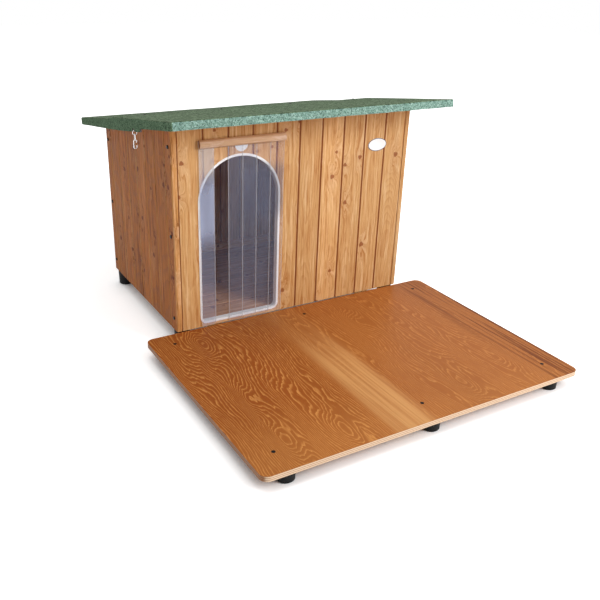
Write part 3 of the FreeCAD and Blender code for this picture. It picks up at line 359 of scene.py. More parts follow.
def mottle_group():
    """A soft cloud over the surface, for dust, handling marks and uneven plating."""
    group, given, result = new_group(
        "mottle", [("Place", "Vector"), ("Scale", "Float"), ("Detail", "Float"), ("Roughness", "Float")],
        [("Mottle", "Float")])
    cloud = add_node(group, "TexNoise", {"Vector": given.outputs["Place"], "Scale": given.outputs["Scale"],
                                         "Detail": given.outputs["Detail"],
                                         "Roughness": given.outputs["Roughness"]})
    group.links.new(cloud.outputs[0], result.inputs["Mottle"])
    return group


MOTTLE = mottle_group()


def mottle(tree, scale, detail=3.0, roughness=0.5):
    """The cloud placed in a material, with its own values."""
    place = add_node(tree, "TexCoord").outputs["Object"]
    return add_node(tree, "Group", {"Place": place, "Scale": scale, "Detail": detail, "Roughness": roughness},
                    node_tree=MOTTLE).outputs[0]


white_trim, tree, shader = new_material("white_trim", (0.93, 0.93, 0.93), 0.34)
smear = mottle(tree, 38.0)
tree.links.new(blend_colours(tree, fade(tree, smear, 0.45, 0.75), (0.95, 0.95, 0.95, 1.0),
                             (0.86, 0.86, 0.87, 1.0)), shader.inputs["Base Color"])
tree.links.new(sums(tree, "MULTIPLY_ADD", smear, 0.25, 0.22), shader.inputs["Roughness"])
finish_node("door_edge_trim", white_trim, 0.0009)

# ---------------------------------------------------------------- strip curtain
# Six flaps of clear soft plastic hang outside the doorway from a header, which a half-round
# pine batten clamps to the wall. Their cut edges catch the light, painted on as pale lines.

STRIP_PITCH = 0.0557
CURTAIN_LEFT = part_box("curtain_strip_1")[0].x - 0.0005
SHEET_TINT = (0.47, 0.54, 0.76)


def stretched_noise(tree, place, scale, detail, location=(0.0, 0.0, 0.0), **sockets):
    """Soft noise whose cells are stretched by a scale for each axis."""
    drawn = add_node(tree, "Mapping", {"Vector": place, "Scale": scale, "Location": location})
    return add_node(tree, "TexNoise", {"Vector": drawn.outputs[0], "Scale": 1.0, "Detail": detail,
                                       **sockets}).outputs[0]


def clear_sheet_group():
    """Soft clear sheet: its waves, a painted highlight along its cut edges, how milky it looks and in
    what colour, with a whiter painted sheen up high, and the painted reflections of a pale and a dark sky."""
    group, given, result = new_group(
        "clear_sheet",
        [("Place", "Vector"), ("Seed", "Float"), ("Haze", "Float"), ("Painted Sheen", "Float"), ("Painted Dusk", "Float")],
        [("Ripple", "Float"), ("Painted Edge Highlight", "Float"), ("Haze And Painted Reflection", "Float"), ("Painted Dark Reflection", "Float"),
         ("Haze And Reflection Colour", "Color")])
    place, seed, haze, painted_sheen, painted_dusk = (given.outputs[n] for n in ("Place", "Seed", "Haze", "Painted Sheen", "Painted Dusk"))
    axes = add_node(group, "SeparateXYZ", {0: place}).outputs
    strip = sums(group, "DIVIDE", sums(group, "SUBTRACT", axes[X], CURTAIN_LEFT), STRIP_PITCH)
    beside = sums(group, "ABSOLUTE", sums(group, "SUBTRACT", sums(group, "FRACT", strip), 0.5))
    # painted highlight: pale lines along the strips' cut edges
    painted_edge_highlight = fade(group, beside, 0.470, 0.486)
    moved = add_node(group, "CombineXYZ", {0: seed}).outputs[0]
    ripple = stretched_noise(group, place, (14.0, 1.0, 2.6), 2.0, moved)
    # painted reflections: the pale sky halfway up and above, then the dark one
    painted_reflection_band = sums(group, "MULTIPLY", fade(group, axes[Z], 0.36, 0.46), fade(group, axes[Z], 0.66, 0.56))
    patchy = sums(group, "MULTIPLY_ADD", fade(group, ripple, 0.38, 0.60), 0.35, 0.65)
    high = fade(group, axes[Z], 0.60, 0.68)
    painted_pale_reflection = sums(group, "MULTIPLY_ADD", high, 0.42, sums(group, "MULTIPLY", painted_reflection_band, patchy))
    painted_dark_reflection = sums(group, "MULTIPLY", sums(group, "MULTIPLY", fade(group, axes[Z], 0.42, 0.52),
                                         fade(group, axes[Z], 0.68, 0.62)), painted_dusk)
    haze_and_painted_reflection = sums(group, "MULTIPLY_ADD", ripple, 0.10, sums(group, "SUBTRACT", haze, 0.05))
    haze_and_painted_reflection = sums(group, "ADD", sums(group, "MULTIPLY_ADD", painted_pale_reflection, painted_sheen, haze_and_painted_reflection), painted_dark_reflection)
    # the painted sheen whitens the milky colour up high
    painted_sheen_whitening = sums(group, "MULTIPLY", high, sums(group, "MINIMUM", sums(group, "MULTIPLY", painted_sheen, 3.0), 1.0))
    haze_and_reflection_colour = blend_colours(group, painted_sheen_whitening, SHEET_TINT + (1.0,), (0.74, 0.71, 0.69, 1.0))
    for name, socket in (("Ripple", ripple), ("Painted Edge Highlight", painted_edge_highlight), ("Haze And Painted Reflection", haze_and_painted_reflection), ("Painted Dark Reflection", painted_dark_reflection),
                         ("Haze And Reflection Colour", haze_and_reflection_colour)):
        group.links.new(socket, result.inputs[name])
    return group


CLEAR_SHEET = clear_sheet_group()


def clear_plastic(name, seed, haze, painted_sheen=0.0, painted_dusk=0.0):
    """Clear sheet: haze is how milky it looks, painted_sheen how strong the painted reflection of
    pale sky is halfway up and above, and painted_dusk how strong the painted reflection of dark sky is."""
    material, tree, shader = new_material(name, SHEET_TINT, 0.12, IOR=1.45)
    place = add_node(tree, "TexCoord").outputs["Object"]
    sheet = add_node(tree, "Group", {"Place": place, "Seed": seed, "Haze": haze, "Painted Sheen": painted_sheen,
                                     "Painted Dusk": painted_dusk}, node_tree=CLEAR_SHEET).outputs
    facing = add_node(tree, "LayerWeight", {"Blend": 0.35}).outputs["Facing"]
    haze_and_painted_reflection = sums(tree, "MULTIPLY_ADD", facing, 0.12, sheet["Haze And Painted Reflection"])
    haze_and_reflection_colour = blend_colours(tree, sums(tree, "DIVIDE", sheet["Painted Dark Reflection"], haze_and_painted_reflection), sheet["Haze And Reflection Colour"],
                          (0.030, 0.034, 0.085, 1.0))
    tree.links.new(sums(tree, "MAXIMUM", haze_and_painted_reflection, sums(tree, "MULTIPLY", sheet["Painted Edge Highlight"], 0.42)),
                   shader.inputs["Alpha"])
    tree.links.new(blend_colours(tree, sheet["Painted Edge Highlight"], haze_and_reflection_colour, (0.80, 0.80, 0.84, 1.0)),
                   shader.inputs["Base Color"])
    bump = add_node(tree, "Bump", {"Strength": 0.4, "Distance": 0.003, "Height": sheet["Ripple"]})
    tree.links.new(bump.outputs[0], shader.inputs["Normal"])
    return material


# for each strip: haze, and the strengths of its painted pale and painted dark reflections
STRIP_LOOKS = ((0.13, 0.40, 0.0), (0.02, 0.0, 0.0), (0.09, 0.0, 0.0),
               (0.09, 0.0, 0.22), (0.07, 0.0, 0.30), (0.06, 0.0, 0.16))

for number, (haze, painted_sheen, painted_dusk) in enumerate(STRIP_LOOKS, start=1):
    finish_node("curtain_strip_%d" % number, clear_plastic("clear_strip_%d" % number, 3.1 * number, haze,
                                                           painted_sheen, painted_dusk))
finish_node("curtain_header", clear_plastic("clear_header", 31.0, 0.11))
# The batten's end that faces left is darkened by the tint as painted shade.
half_round_pine = pine("half_round_pine", (0.64, 0.42, 0.26), (0.48, 0.27, 0.15), 0.0, Z, X, Y, PLANK,
                       0.5, 146.0, face=X, face_painted_light_tint=(0.35, 0.25, 0.20))
finish_node("curtain_batten", half_round_pine, 0.003)

# ---------------------------------------------------------------- roof boards and battens
# Pine boards run from side to side under the felt, held together by three battens that drop
# between the walls. A thin tapered lath across them lifts the felt into a low crest.

ROOF_PITCH = math.radians(9.87)
ROOF_FRONT_EDGE = -0.172
ROOF_UNDERSIDE = 0.8125
roof_origin = Vector((0.0, FRONT_FACE, ROOF_UNDERSIDE))
roof_turn = Matrix.Rotation(-ROOF_PITCH, 4, "X")
to_row = Matrix.Translation(roof_origin) @ roof_turn
roof_start = ROOF_FRONT_EDGE + (roof_turn.inverted() @ roof_origin).y
roof_pine = pine("roof_pine", BATTEN_LIGHT, BATTEN_GRAIN, JOINT_STAIN, Y, X, Z, BOARD_COVER, roof_start,
                 160.0, tilt=ROOF_PITCH)
finish_node("roof_boards", roof_pine)
finish_node("roof_firring", roof_pine)
finish_node("roof_cross_battens", batten_pine("roof_batten_pine", X, Y, Z, -1.0, 180.0), BATTEN_EDGE)

# ---------------------------------------------------------------- roofing felt
# Bitumen felt with green mineral granules, laid over the boards in one piece, folded down over
# all four edges and tucked under; at the left end it hangs a little lower round the bracket.

FELT_HALF_WIDTH = 0.563
FELT_FRONT = -0.175
FELT_REAR = 0.825
FELT_TOP = 0.028
FELT_THICKNESS = 0.0028
FELT_FOLD_RADIUS = 0.0045
FELT_FOLD_ZONE = 0.004
FELT_MESH_PITCH = 0.0125
FELT_TOP_WAVE = 0.0009
FELT_HEM_WAVE = 0.0008
CREST_PLACE = 0.382
CREST_RUN = 0.530
CREST_FALL = 0.085
CREST_HEIGHT = 0.0085
FLAP_START = 0.116
FLAP_REAR = 0.355
FLAP_DROP = 0.011
CHAIN_PLACE = 0.178
CHAIN_NOTCH = 0.011


def felt_granules_group():
    """Mineral granules: pale and dark ones of two sizes over the base colour, with broad patches."""
    group, given, result = new_group(
        "felt_granules",
        [("Place", "Vector"), ("Granules", "Float"), ("Blotch", "Float"),
         ("Base", "Color"), ("Pale", "Color"), ("Dark", "Color")],
        [("Colour", "Color"), ("Height", "Float")])
    place, granules, blotch, base, pale, dark = (
        given.outputs[n] for n in ("Place", "Granules", "Blotch", "Base", "Pale", "Dark"))
    coarse = add_node(group, "TexVoronoi", {"Vector": place, "Scale": granules})
    draws = add_node(group, "SeparateColor", {0: coarse.outputs["Color"]}).outputs
    fine = add_node(group, "TexVoronoi", {"Vector": place, "Scale": sums(group, "MULTIPLY", granules, 2.1)})
    specks = add_node(group, "SeparateColor", {0: fine.outputs["Color"]}).outputs
    broad = add_node(group, "TexNoise", {"Vector": place, "Scale": 5.0, "Detail": 4.0}).outputs[0]
    colour = base
    for draw, low, high, share, grit in (
            (draws[0], 0.60, 0.80, 0.8, pale), (draws[1], 0.74, 0.84, 0.75, dark),
            (specks[0], 0.55, 0.85, 0.5, pale), (specks[1], 0.75, 0.85, 0.5, dark)):
        amount = sums(group, "MULTIPLY", fade(group, draw, low, high), share)
        colour = blend_colours(group, amount, colour, grit)
    colour = shaded(group, colour, sums(group, "MULTIPLY_ADD", broad, blotch,
                                        sums(group, "MULTIPLY_ADD", blotch, -0.5, 1.0)))
    height = sums(group, "MULTIPLY_ADD", draws[2], 0.6, sums(group, "MULTIPLY", specks[2], 0.5))
    group.links.new(colour, result.inputs["Colour"])
    group.links.new(height, result.inputs["Height"])
    return group


FELT_GRANULES = felt_granules_group()


def felt(name, base, pale, dark, granules, blotch):
    """Granulated felt: granules of them to the metre, in patches as strong as blotch."""
    material, tree, shader = new_material(name, base, 0.9, Specular_IOR_Level=0.15)
    place = add_node(tree, "TexCoord").outputs["Object"]
    surface = add_node(tree, "Group", {"Place": place, "Granules": granules, "Blotch": blotch,
                                       "Base": base + (1.0,), "Pale": pale + (1.0,), "Dark": dark + (1.0,)},
                       node_tree=FELT_GRANULES).outputs
    tree.links.new(surface["Colour"], shader.inputs["Base Color"])
    bump = add_node(tree, "Bump", {"Strength": 0.55, "Distance": 0.0009, "Height": surface["Height"]})
    tree.links.new(bump.outputs[0], shader.inputs["Normal"])
    return material


def crest_rise(along):
    """The felt's rise over the tapered board below it: a long ramp, then a short fall."""
    run = CREST_RUN if along < CREST_PLACE else CREST_FALL
    return CREST_HEIGHT * max(0.0, 1.0 - abs(along - CREST_PLACE) / run)


def flap_drop(along):
    """How far the left end's fold hangs below the boards, at a place along the slope."""
    if along < FLAP_START or abs(along - CHAIN_PLACE) < CHAIN_NOTCH:
        return 0.0
    if along < FLAP_REAR:
        return FLAP_DROP
    return FLAP_DROP * (FELT_REAR - along) / (FELT_REAR - FLAP_REAR)


def new_piece(name, bm, materials, body):
    """A finished mesh object from a bmesh, riding on its body."""
    mesh = bpy.data.meshes.new(name)
    bm.to_mesh(mesh)
    bm.free()
    for material in materials:
        mesh.materials.append(material)
    piece = bpy.data.objects.new(name, mesh)
    bpy.context.scene.collection.objects.link(piece)
    mesh.polygons.foreach_set("use_smooth", [True] * len(mesh.polygons))
    mesh.set_sharp_from_angle(angle=math.radians(35))
    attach(piece, body)
    return piece


def slice_evenly(bm, axis, low, high, pitch):
    """Cuts the mesh by planes across an axis, one pitch apart."""
    normal = Vector((0.0, 0.0, 0.0))
    normal[axis] = 1.0
    place = low + pitch
    while place < high - pitch / 4:
        bmesh.ops.bisect_plane(bm, geom=bm.verts[:] + bm.edges[:] + bm.faces[:], dist=1e-6,
                               plane_co=normal * place, plane_no=normal)
        place += pitch


bm = bmesh.new()
bmesh.ops.create_cube(bm, size=1.0)
bmesh.ops.scale(bm, vec=(2 * FELT_HALF_WIDTH, FELT_REAR - FELT_FRONT, FELT_TOP), verts=bm.verts)
bmesh.ops.translate(bm, vec=(0.0, (FELT_REAR + FELT_FRONT) / 2, FELT_TOP / 2), verts=bm.verts)
bmesh.ops.delete(bm, geom=[f for f in bm.faces if f.normal.z < -0.5], context="FACES_ONLY")
folds = [e for e in bm.edges if any(v.co.z > FELT_TOP / 2 for v in e.verts)]
bmesh.ops.bevel(bm, geom=folds, offset=FELT_FOLD_RADIUS, offset_type="OFFSET", segments=3, profile=0.5,
                affect="EDGES", material=-1)
slice_evenly(bm, X, -FELT_HALF_WIDTH, FELT_HALF_WIDTH, FELT_MESH_PITCH)
slice_evenly(bm, Y, FELT_FRONT, FELT_REAR, FELT_MESH_PITCH)
for vert in bm.verts:
    x, along, up = vert.co
    if up > FELT_TOP / 2:
        vert.co.z += crest_rise(along) + FELT_TOP_WAVE * noise.noise(Vector((x * 6.0, along * 6.0, 1.3)))
    else:
        if x < -FELT_HALF_WIDTH + FELT_FOLD_ZONE / 2:
            vert.co.z -= flap_drop(along)
        vert.co.z += FELT_HEM_WAVE * noise.noise(Vector((x * 22.0, along * 22.0, 7.7)))
bmesh.ops.solidify(bm, geom=bm.faces[:], thickness=FELT_THICKNESS)
bmesh.ops.recalc_face_normals(bm, faces=bm.faces)
# the felt's folded sides take a lighter copy of its colour as painted light, and its left end a darker copy
# as painted shade
for face in bm.faces:
    centre = face.calc_center_median()
    if face.normal.z < 0.6 and centre.z < FELT_TOP + FELT_FOLD_ZONE:
        face.material_index = 1 if centre.x > -FELT_HALF_WIDTH + FELT_FOLD_ZONE else 2
bm.transform(to_row)
# one felt in three colours by which way it faces: the top and the left end darker as painted shade, the
# folded sides lighter as painted light
shaded_top_felt = felt("green_felt_top_painted_shade", (0.082, 0.132, 0.068), (0.19, 0.26, 0.16), (0.006, 0.012, 0.005),
                120.0, 0.30)
lit_fold_felt = felt("green_felt_fold_painted_light", (0.165, 0.290, 0.235), (0.36, 0.52, 0.45), (0.022, 0.055, 0.042),
                 270.0, 0.16)
shaded_end_felt = felt("green_felt_end_painted_shade", (0.10, 0.175, 0.098), (0.20, 0.31, 0.19), (0.015, 0.035, 0.018),
                230.0, 0.30)
felt_sheet = new_piece("roof_felt_sheet", bm, [shaded_top_felt, lit_fold_felt, shaded_end_felt], "roof")
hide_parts("roof_felt")

# ---------------------------------------------------------------- roof nails
# Four flat-headed felt nails, driven through the felt and the tapered lath just in front of the
# crest, 308 mm apart.

NAIL_ALONG = 0.350
NAIL_PLACES = (-0.455, -0.147, 0.161, 0.469)
NAIL_HEAD = 0.0062
NAIL_THICKNESS = 0.0026

bm = bmesh.new()
for place in NAIL_PLACES:
    head = bmesh.ops.create_cone(bm, cap_ends=True, segments=20, radius1=NAIL_HEAD, radius2=NAIL_HEAD * 0.62,
                                 depth=NAIL_THICKNESS)["verts"]
    bmesh.ops.translate(bm, vec=(place, NAIL_ALONG, FELT_TOP + crest_rise(NAIL_ALONG) + NAIL_THICKNESS / 2),
                        verts=head)
bm.transform(to_row)
nail_steel, tree, shader = new_material("dull_nail_steel", (0.012, 0.012, 0.011), 0.7)
rust = mottle(tree, 300.0, detail=2.0)
tree.links.new(blend_colours(tree, rust, (0.010, 0.010, 0.009, 1.0), (0.022, 0.018, 0.015, 1.0)),
               shader.inputs["Base Color"])
new_piece("roof_nails", bm, [nail_steel], "roof")

# ---------------------------------------------------------------- panel bolts
# Six bolts through each side wall into the corner posts, with pressed-on black plastic caps.

black_cap, tree, shader = new_material("black_cap", (0.006, 0.006, 0.006), 0.5, Specular_IOR_Level=0.2)
dust = mottle(tree, 160.0)
tree.links.new(sums(tree, "MULTIPLY_ADD", dust, 0.3, 0.2), shader.inputs["Roughness"])
finish_node("panel_bolts_left", black_cap)
finish_node("panel_bolts_right", black_cap)

# ---------------------------------------------------------------- hinges
# Two zinc-plated butt hinges behind the rear wall carry the roof, so that it lifts at the front.


def plated_steel(name, colour, rough):
    """Plated or blackened steel with a slightly cloudy surface."""
    material, tree, shader = new_material(name, colour, rough, Metallic=1.0)
    cloud = mottle(tree, 120.0, detail=4.0, roughness=0.6)
    tree.links.new(blend_colours(tree, fade(tree, cloud, 0.35, 0.7), colour + (1.0,),
                                 tuple(part * 0.72 for part in colour) + (1.0,)), shader.inputs["Base Color"])
    tree.links.new(sums(tree, "MULTIPLY_ADD", cloud, 0.3, rough - 0.12), shader.inputs["Roughness"])
    bump = add_node(tree, "Bump", {"Strength": 0.15, "Distance": 0.0004, "Height": cloud})
    tree.links.new(bump.outputs[0], shader.inputs["Normal"])
    return material


zinc = plated_steel("bright_zinc", (0.86, 0.87, 0.88), 0.24)
for name in ("hinge_wall_leaves", "hinge_roof_leaves", "hinge_pins"):
    finish_node(name, zinc)

# ---------------------------------------------------------------- feet
# Round moulded rubber feet, screwed up through a recess: four tall ones under the kennel's
# corner posts and six low ones under the platform.

rubber, tree, shader = new_material("black_rubber", (0.006, 0.006, 0.006), 0.6, Specular_IOR_Level=0.2)
skin = mottle(tree, 420.0)
tree.links.new(sums(tree, "MULTIPLY_ADD", skin, 0.3, 0.42), shader.inputs["Roughness"])
bump = add_node(tree, "Bump", {"Strength": 0.25, "Distance": 0.0005, "Height": skin})
tree.links.new(bump.outputs[0], shader.inputs["Normal"])
finish_node("kennel_feet", rubber)
finish_node("platform_feet", rubber)
finish_node("kennel_foot_screws", zinc)

# ---------------------------------------------------------------- platform
# An 18 mm plywood sheet with rounded corners and an orange-brown stain over a rotary-cut face,
# screwed to two battens, with six rubber feet; the pale plies show along its edge.

DECK_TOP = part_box("platform_deck")[1].z
DECK_LIGHT = (0.60, 0.255, 0.068)
DECK_BROWN = (0.285, 0.072, 0.0115)
DECK_PALE = (0.62, 0.31, 0.110)
DECK_PLY = 0.006
VEINS_PER_METRE = 86.0
OVAL_PLACES = ((-0.452, -0.075), (-0.485, -0.485), (-0.489, -0.726), (-0.306, -0.790), (0.202, -0.729),
               (0.150, -0.180))

deck_ply, tree, shader = new_material("deck_ply", DECK_BROWN, 0.5, Specular_IOR_Level=0.12)
place = add_node(tree, "TexCoord").outputs["Object"]
axes = add_node(tree, "SeparateXYZ", {0: place}).outputs
hills = stretched_noise(tree, place, (5.6, 1.5, 1.0), 2.2, (2.2, 0.4, 0.0), Roughness=0.42, Distortion=0.2)
wobble = stretched_noise(tree, place, (80.0, 16.0, 1.0), 2.0)
zones = stretched_noise(tree, place, (4.0, 0.45, 1.0), 2.0, (7.0, 0.0, 0.0))
fibre = stretched_noise(tree, place, (700.0, 14.0, 1.0), 3.0)
bands = stretched_noise(tree, place, (85.0, 1.6, 1.0), 3.0)
# the veins: contour lines of a rolling ground, in rings round the ovals
phase = sums(tree, "MULTIPLY_ADD", wobble, 1.5, sums(tree, "MULTIPLY", axes[X], VEINS_PER_METRE))
phase = sums(tree, "MULTIPLY_ADD", hills, 26.0, phase)
for x, y in OVAL_PLACES:
    spread = add_node(tree, "VectorMath", {0: place, 1: (x, y, DECK_TOP)}, operation="SUBTRACT").outputs[0]
    spread = add_node(tree, "VectorMath", {0: spread, 1: (26.0, 10.0, 0.0)}, operation="MULTIPLY").outputs[0]
    apart = add_node(tree, "VectorMath", {0: spread, 1: spread}, operation="DOT_PRODUCT").outputs["Value"]
    phase = sums(tree, "MULTIPLY_ADD", bell(tree, apart), 6.0, phase)
veins = steps(tree, sums(tree, "FRACT", phase),
              [(0.0, 1.0), (0.12, 0.6), (0.32, 0.06), (0.86, 0.0), (1.0, 0.95)])
# the pale sapwood streak along the middle and the dark right edge
beside = sums(tree, "ABSOLUTE", sums(tree, "MULTIPLY_ADD", zones, 0.16, sums(tree, "ADD", axes[X], 0.015)))
sapwood = sums(tree, "MULTIPLY", fade(tree, beside, 0.098, 0.050),
               sums(tree, "MULTIPLY_ADD", fade(tree, axes[Y], -0.10, -0.50), 0.82, 0.18))
pale_bands = sums(tree, "MULTIPLY_ADD", fade(tree, bands, 0.35, 0.60), 0.45, 0.45)
dark_bands = sums(tree, "MULTIPLY", fade(tree, axes[X], 0.44, 0.56), fade(tree, bands, 0.46, 0.60))
patchy = fade(tree, wobble, 0.30, 0.60)
strength = sums(tree, "MULTIPLY_ADD", fade(tree, axes[X], 0.10, -0.20), 0.32, 0.68)
strength = sums(tree, "MULTIPLY", strength, sums(tree, "MULTIPLY_ADD", sapwood, -0.75, 1.0))
strength = sums(tree, "MULTIPLY", strength, sums(tree, "MULTIPLY_ADD", patchy, 0.45, 0.55))
# painted light: the face is made lighter towards the front and towards the right, where the light falls on it
painted_light_ramp = sums(tree, "MAXIMUM", sums(tree, "MULTIPLY", fade(tree, axes[X], -0.35, 0.15), 0.22),
               sums(tree, "MULTIPLY", fade(tree, axes[Y], -0.50, -0.85), 0.30))
face = blend_colours(tree, sums(tree, "MULTIPLY", veins, strength), DECK_BROWN + (1.0,), DECK_LIGHT + (1.0,))
face = blend_colours(tree, painted_light_ramp, face, DECK_LIGHT + (1.0,))
face = blend_colours(tree, sums(tree, "MULTIPLY", sapwood, pale_bands), face, DECK_PALE + (1.0,))
face = blend_colours(tree, dark_bands, face, tuple(part * 0.62 for part in DECK_BROWN) + (1.0,))
tone = sums(tree, "MULTIPLY_ADD", zones, 0.3, 0.70)
face = shaded(tree, face, sums(tree, "MULTIPLY_ADD", fibre, 0.3, tone))
# the sawn edge: pale plies with dark glue lines, painted browner and darker on the left edge as painted shade
ply = sums(tree, "MULTIPLY", sums(tree, "SUBTRACT", DECK_TOP, axes[Z]), 1 / DECK_PLY)
layers = steps(tree, sums(tree, "FRACT", ply),
               [(0.0, 0.0), (0.16, 0.10), (0.26, 1.0), (0.84, 0.9), (1.0, 0.0)])
plies = blend_colours(tree, layers, (0.40, 0.19, 0.10, 1.0), (0.80, 0.60, 0.42, 1.0))
facing = add_node(tree, "SeparateXYZ", {0: add_node(tree, "TexCoord").outputs["Normal"]}).outputs
painted_shade_plies = add_node(tree, "VectorMath", {0: plies, 1: (0.50, 0.34, 0.25)}, operation="MULTIPLY").outputs[0]
plies = blend_colours(tree, fade(tree, facing[X], -0.5, -0.8), plies, painted_shade_plies)
flat = fade(tree, sums(tree, "ABSOLUTE", facing[Z]), 0.35, 0.55)
tree.links.new(blend_colours(tree, flat, plies, face), shader.inputs["Base Color"])
tree.links.new(sums(tree, "MULTIPLY_ADD", fibre, 0.2, 0.34), shader.inputs["Roughness"])
bump = add_node(tree, "Bump", {"Strength": 0.25, "Distance": 0.0005,
                               "Height": sums(tree, "MULTIPLY_ADD", veins, 0.6, fibre)})
tree.links.new(bump.outputs[0], shader.inputs["Normal"])
finish_node("platform_deck", deck_ply)

black_steel = plated_steel("blackened_steel", (0.025, 0.024, 0.023), 0.6)
finish_node("platform_screws", black_steel)
finish_node("platform_nuts", zinc)
finish_node("platform_foot_screws", zinc)
deck_batten_pine = batten_pine("platform_batten_pine", Y, X, Z, -1.2, 150.0, plank=0.6)
finish_node("platform_battens", deck_batten_pine, BATTEN_EDGE)

# ---------------------------------------------------------------- chain and bracket
# A dark steel angle under the roof's left end carries a short bright chain with an open hook,
# which holds the roof up when it is opened.

finish_node("chain_bracket", plated_steel("dark_bracket_steel", (0.16, 0.13, 0.12), 0.5))
for name in ("chain_ring", "chain_link", "snap_hook"):
    finish_node(name, zinc)

# ---------------------------------------------------------------- blank plates
# A plain white enamelled oval is nailed to the front wall at the right, and a plain white
# disc is stuck on above the doorway, behind the curtain.

white_enamel, tree, shader = new_material("white_enamel", (0.84, 0.85, 0.86), 0.2)
tree.links.new(sums(tree, "MULTIPLY_ADD", mottle(tree, 60.0), 0.2, 0.12), shader.inputs["Roughness"])
dark_rim, tree, shader = new_material("dark_rim", (0.02, 0.03, 0.07), 0.3)
tree.links.new(sums(tree, "MULTIPLY_ADD", mottle(tree, 60.0), 0.2, 0.2), shader.inputs["Roughness"])

PLATE_PLACE = Vector((0.349, FRONT_FACE, 0.682))
PLATE_HALF_WIDTH = 0.043
PLATE_HALF_HEIGHT = 0.025
PLATE_THICKNESS = 0.002
PLATE_RIM = 0.0022
PLATE_DISH_EDGE = 0.0015
PLATE_DISH = 0.0006
STICKER_PLACE = Vector((-0.238, FRONT_FACE, 0.737))
STICKER_RADIUS = 0.025
STICKER_CUT = 0.0025
STICKER_THICKNESS = 0.0006


def raise_face(bm, height):
    """Extrudes the flat outline upwards into a plate."""
    raised = bmesh.ops.extrude_face_region(bm, geom=bm.faces[:])["geom"]
    corners = [v for v in raised if isinstance(v, bmesh.types.BMVert)]
    bmesh.ops.translate(bm, vec=(0.0, 0.0, height), verts=corners)
    bmesh.ops.recalc_face_normals(bm, faces=bm.faces)


def hang_on_wall(bm, place):
    """Turns a plate that lies on the ground to face the front, at its place on the wall."""
    bm.transform(Matrix.Translation(place) @ Matrix.Rotation(math.pi / 2, 4, "X"))


bm = bmesh.new()
bmesh.ops.create_circle(bm, cap_ends=True, radius=1.0, segments=64)
bmesh.ops.scale(bm, vec=(PLATE_HALF_WIDTH, PLATE_HALF_HEIGHT, 1.0), verts=bm.verts)
raise_face(bm, PLATE_THICKNESS)
top = [f for f in bm.faces if f.normal.z > 0.9]
rim = bmesh.ops.inset_region(bm, faces=top, thickness=PLATE_RIM, depth=0.0)
for face in rim["faces"]:
    face.material_index = 1
inner = [f for f in bm.faces if f.normal.z > 0.9 and f.material_index == 0]
bmesh.ops.inset_region(bm, faces=inner, thickness=PLATE_DISH_EDGE, depth=-PLATE_DISH)
hang_on_wall(bm, PLATE_PLACE)
new_piece("blank_oval_plate", bm, [white_enamel, dark_rim], "kennel")

bm = bmesh.new()
bmesh.ops.create_circle(bm, cap_ends=True, radius=STICKER_RADIUS, segments=48)
bmesh.ops.bisect_plane(bm, geom=bm.verts[:] + bm.edges[:] + bm.faces[:], dist=1e-6,
                       plane_co=(0.0, STICKER_CUT, 0.0), plane_no=(0.0, 1.0, 0.0), clear_outer=True)
raise_face(bm, STICKER_THICKNESS)
hang_on_wall(bm, STICKER_PLACE)
new_piece("blank_round_sticker", bm, [white_enamel], "kennel")

# ---------------------------------------------------------------- studio
# A plain floor that is seen as white where no shadow falls on it, a white world and two large
# soft lamps.

FLOOR_HALF_SIZE = 12.0
FLOOR_LIFT = 0.62
FLOOR_WHITE_FROM = 1.3
FLOOR_WHITE_AT = 2.6
CONTACT_SHADOW = 0.12
WORLD_LIGHT = 0.40
LAMP_AIM = Vector((0.0, 0.0, 0.4))


def background_rays(tree):
    """1 for what the camera, a reflection or a clear sheet sees, and 0 for light on the object."""
    path = add_node(tree, "LightPath").outputs
    return sums(tree, "MAXIMUM", path["Is Camera Ray"],
                sums(tree, "MAXIMUM", path["Is Glossy Ray"], path["Is Transmission Ray"]))


bm = bmesh.new()
bmesh.ops.create_grid(bm, x_segments=1, y_segments=1, size=FLOOR_HALF_SIZE)
mesh = bpy.data.meshes.new("studio_floor")
bm.to_mesh(mesh)
bm.free()
floor_finish, tree, shader = new_material("studio_floor", (0.90, 0.90, 0.90), 0.9, Specular_IOR_Level=0.0)
seen = background_rays(tree)
shader.inputs["Emission Color"].default_value = (1.0, 1.0, 1.0, 1.0)
away = add_node(tree, "VectorMath", {0: add_node(tree, "TexCoord").outputs["Object"]},
                operation="LENGTH").outputs["Value"]
hidden = add_node(tree, "AmbientOcclusion", {"Distance": CONTACT_SHADOW}, samples=8)
far = fade(tree, away, FLOOR_WHITE_FROM, FLOOR_WHITE_AT)
lift = sums(tree, "MULTIPLY_ADD", far, 1.0 - FLOOR_LIFT, FLOOR_LIFT)
lift = sums(tree, "MULTIPLY", lift, fade(tree, hidden.outputs["AO"], 0.15, 0.85))
tree.links.new(sums(tree, "MULTIPLY", seen, lift), shader.inputs["Emission Strength"])
mesh.materials.append(floor_finish)
studio_floor = bpy.data.objects.new("studio_floor", mesh)
bpy.context.scene.collection.objects.link(studio_floor)

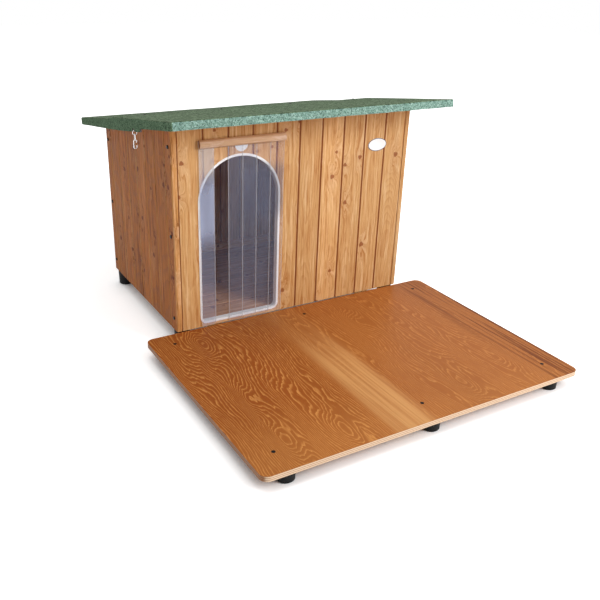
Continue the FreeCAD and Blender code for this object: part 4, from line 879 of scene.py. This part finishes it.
world = bpy.data.worlds.new("studio")
bpy.context.scene.world = world
world.use_nodes = True
sky = world.node_tree
backdrop = sky.nodes["Background"]
backdrop.inputs["Color"].default_value = (1.0, 1.0, 1.0, 1.0)
sky.links.new(sums(sky, "MULTIPLY_ADD", background_rays(sky), 1.0 - WORLD_LIGHT, WORLD_LIGHT),
              backdrop.inputs["Strength"])


def soft_lamp(name, place, size, power):
    """A square lamp that is turned towards the middle of the object."""
    lamp = bpy.data.lights.new(name, "AREA")
    lamp.shape = "SQUARE"
    lamp.size = size
    lamp.energy = power
    holder = bpy.data.objects.new(name, lamp)
    holder.location = place
    holder.rotation_euler = (LAMP_AIM - Vector(place)).to_track_quat("-Z", "Y").to_euler()
    bpy.context.scene.collection.objects.link(holder)


soft_lamp("key_lamp", (2.3, -3.6, 2.7), 2.0, 175.0)
soft_lamp("top_lamp", (-0.2, -0.4, 4.2), 3.0, 55.0)

# ---------------------------------------------------------------- camera
# At the place and angle that were fitted to the photograph.

CAMERA_PLACE = Vector((-1.41781, -2.28579, 1.35378))
YAW, DOWN, ROLL = -0.55563, 0.43421, 0.03775
FOCAL_PIXELS = 753.85
FRAME_PIXELS = 600
SENSOR = 36.0

level_ahead = Vector((-math.sin(YAW), math.cos(YAW), 0.0))
level_right = Vector((math.cos(YAW), math.sin(YAW), 0.0))
up = Vector((0.0, 0.0, 1.0))
ahead = math.cos(DOWN) * level_ahead - math.sin(DOWN) * up
above = math.sin(DOWN) * level_ahead + math.cos(DOWN) * up
right = math.cos(ROLL) * level_right + math.sin(ROLL) * above
above = -math.sin(ROLL) * level_right + math.cos(ROLL) * above
camera = bpy.data.objects.new("camera", bpy.data.cameras.new("camera"))
camera.data.sensor_width = SENSOR
camera.data.lens = SENSOR * FOCAL_PIXELS / FRAME_PIXELS
camera_turn = Matrix((right, above, -ahead)).transposed().to_4x4()
camera.matrix_world = Matrix.Translation(CAMERA_PLACE) @ camera_turn
bpy.context.scene.collection.objects.link(camera)
bpy.context.scene.camera = camera
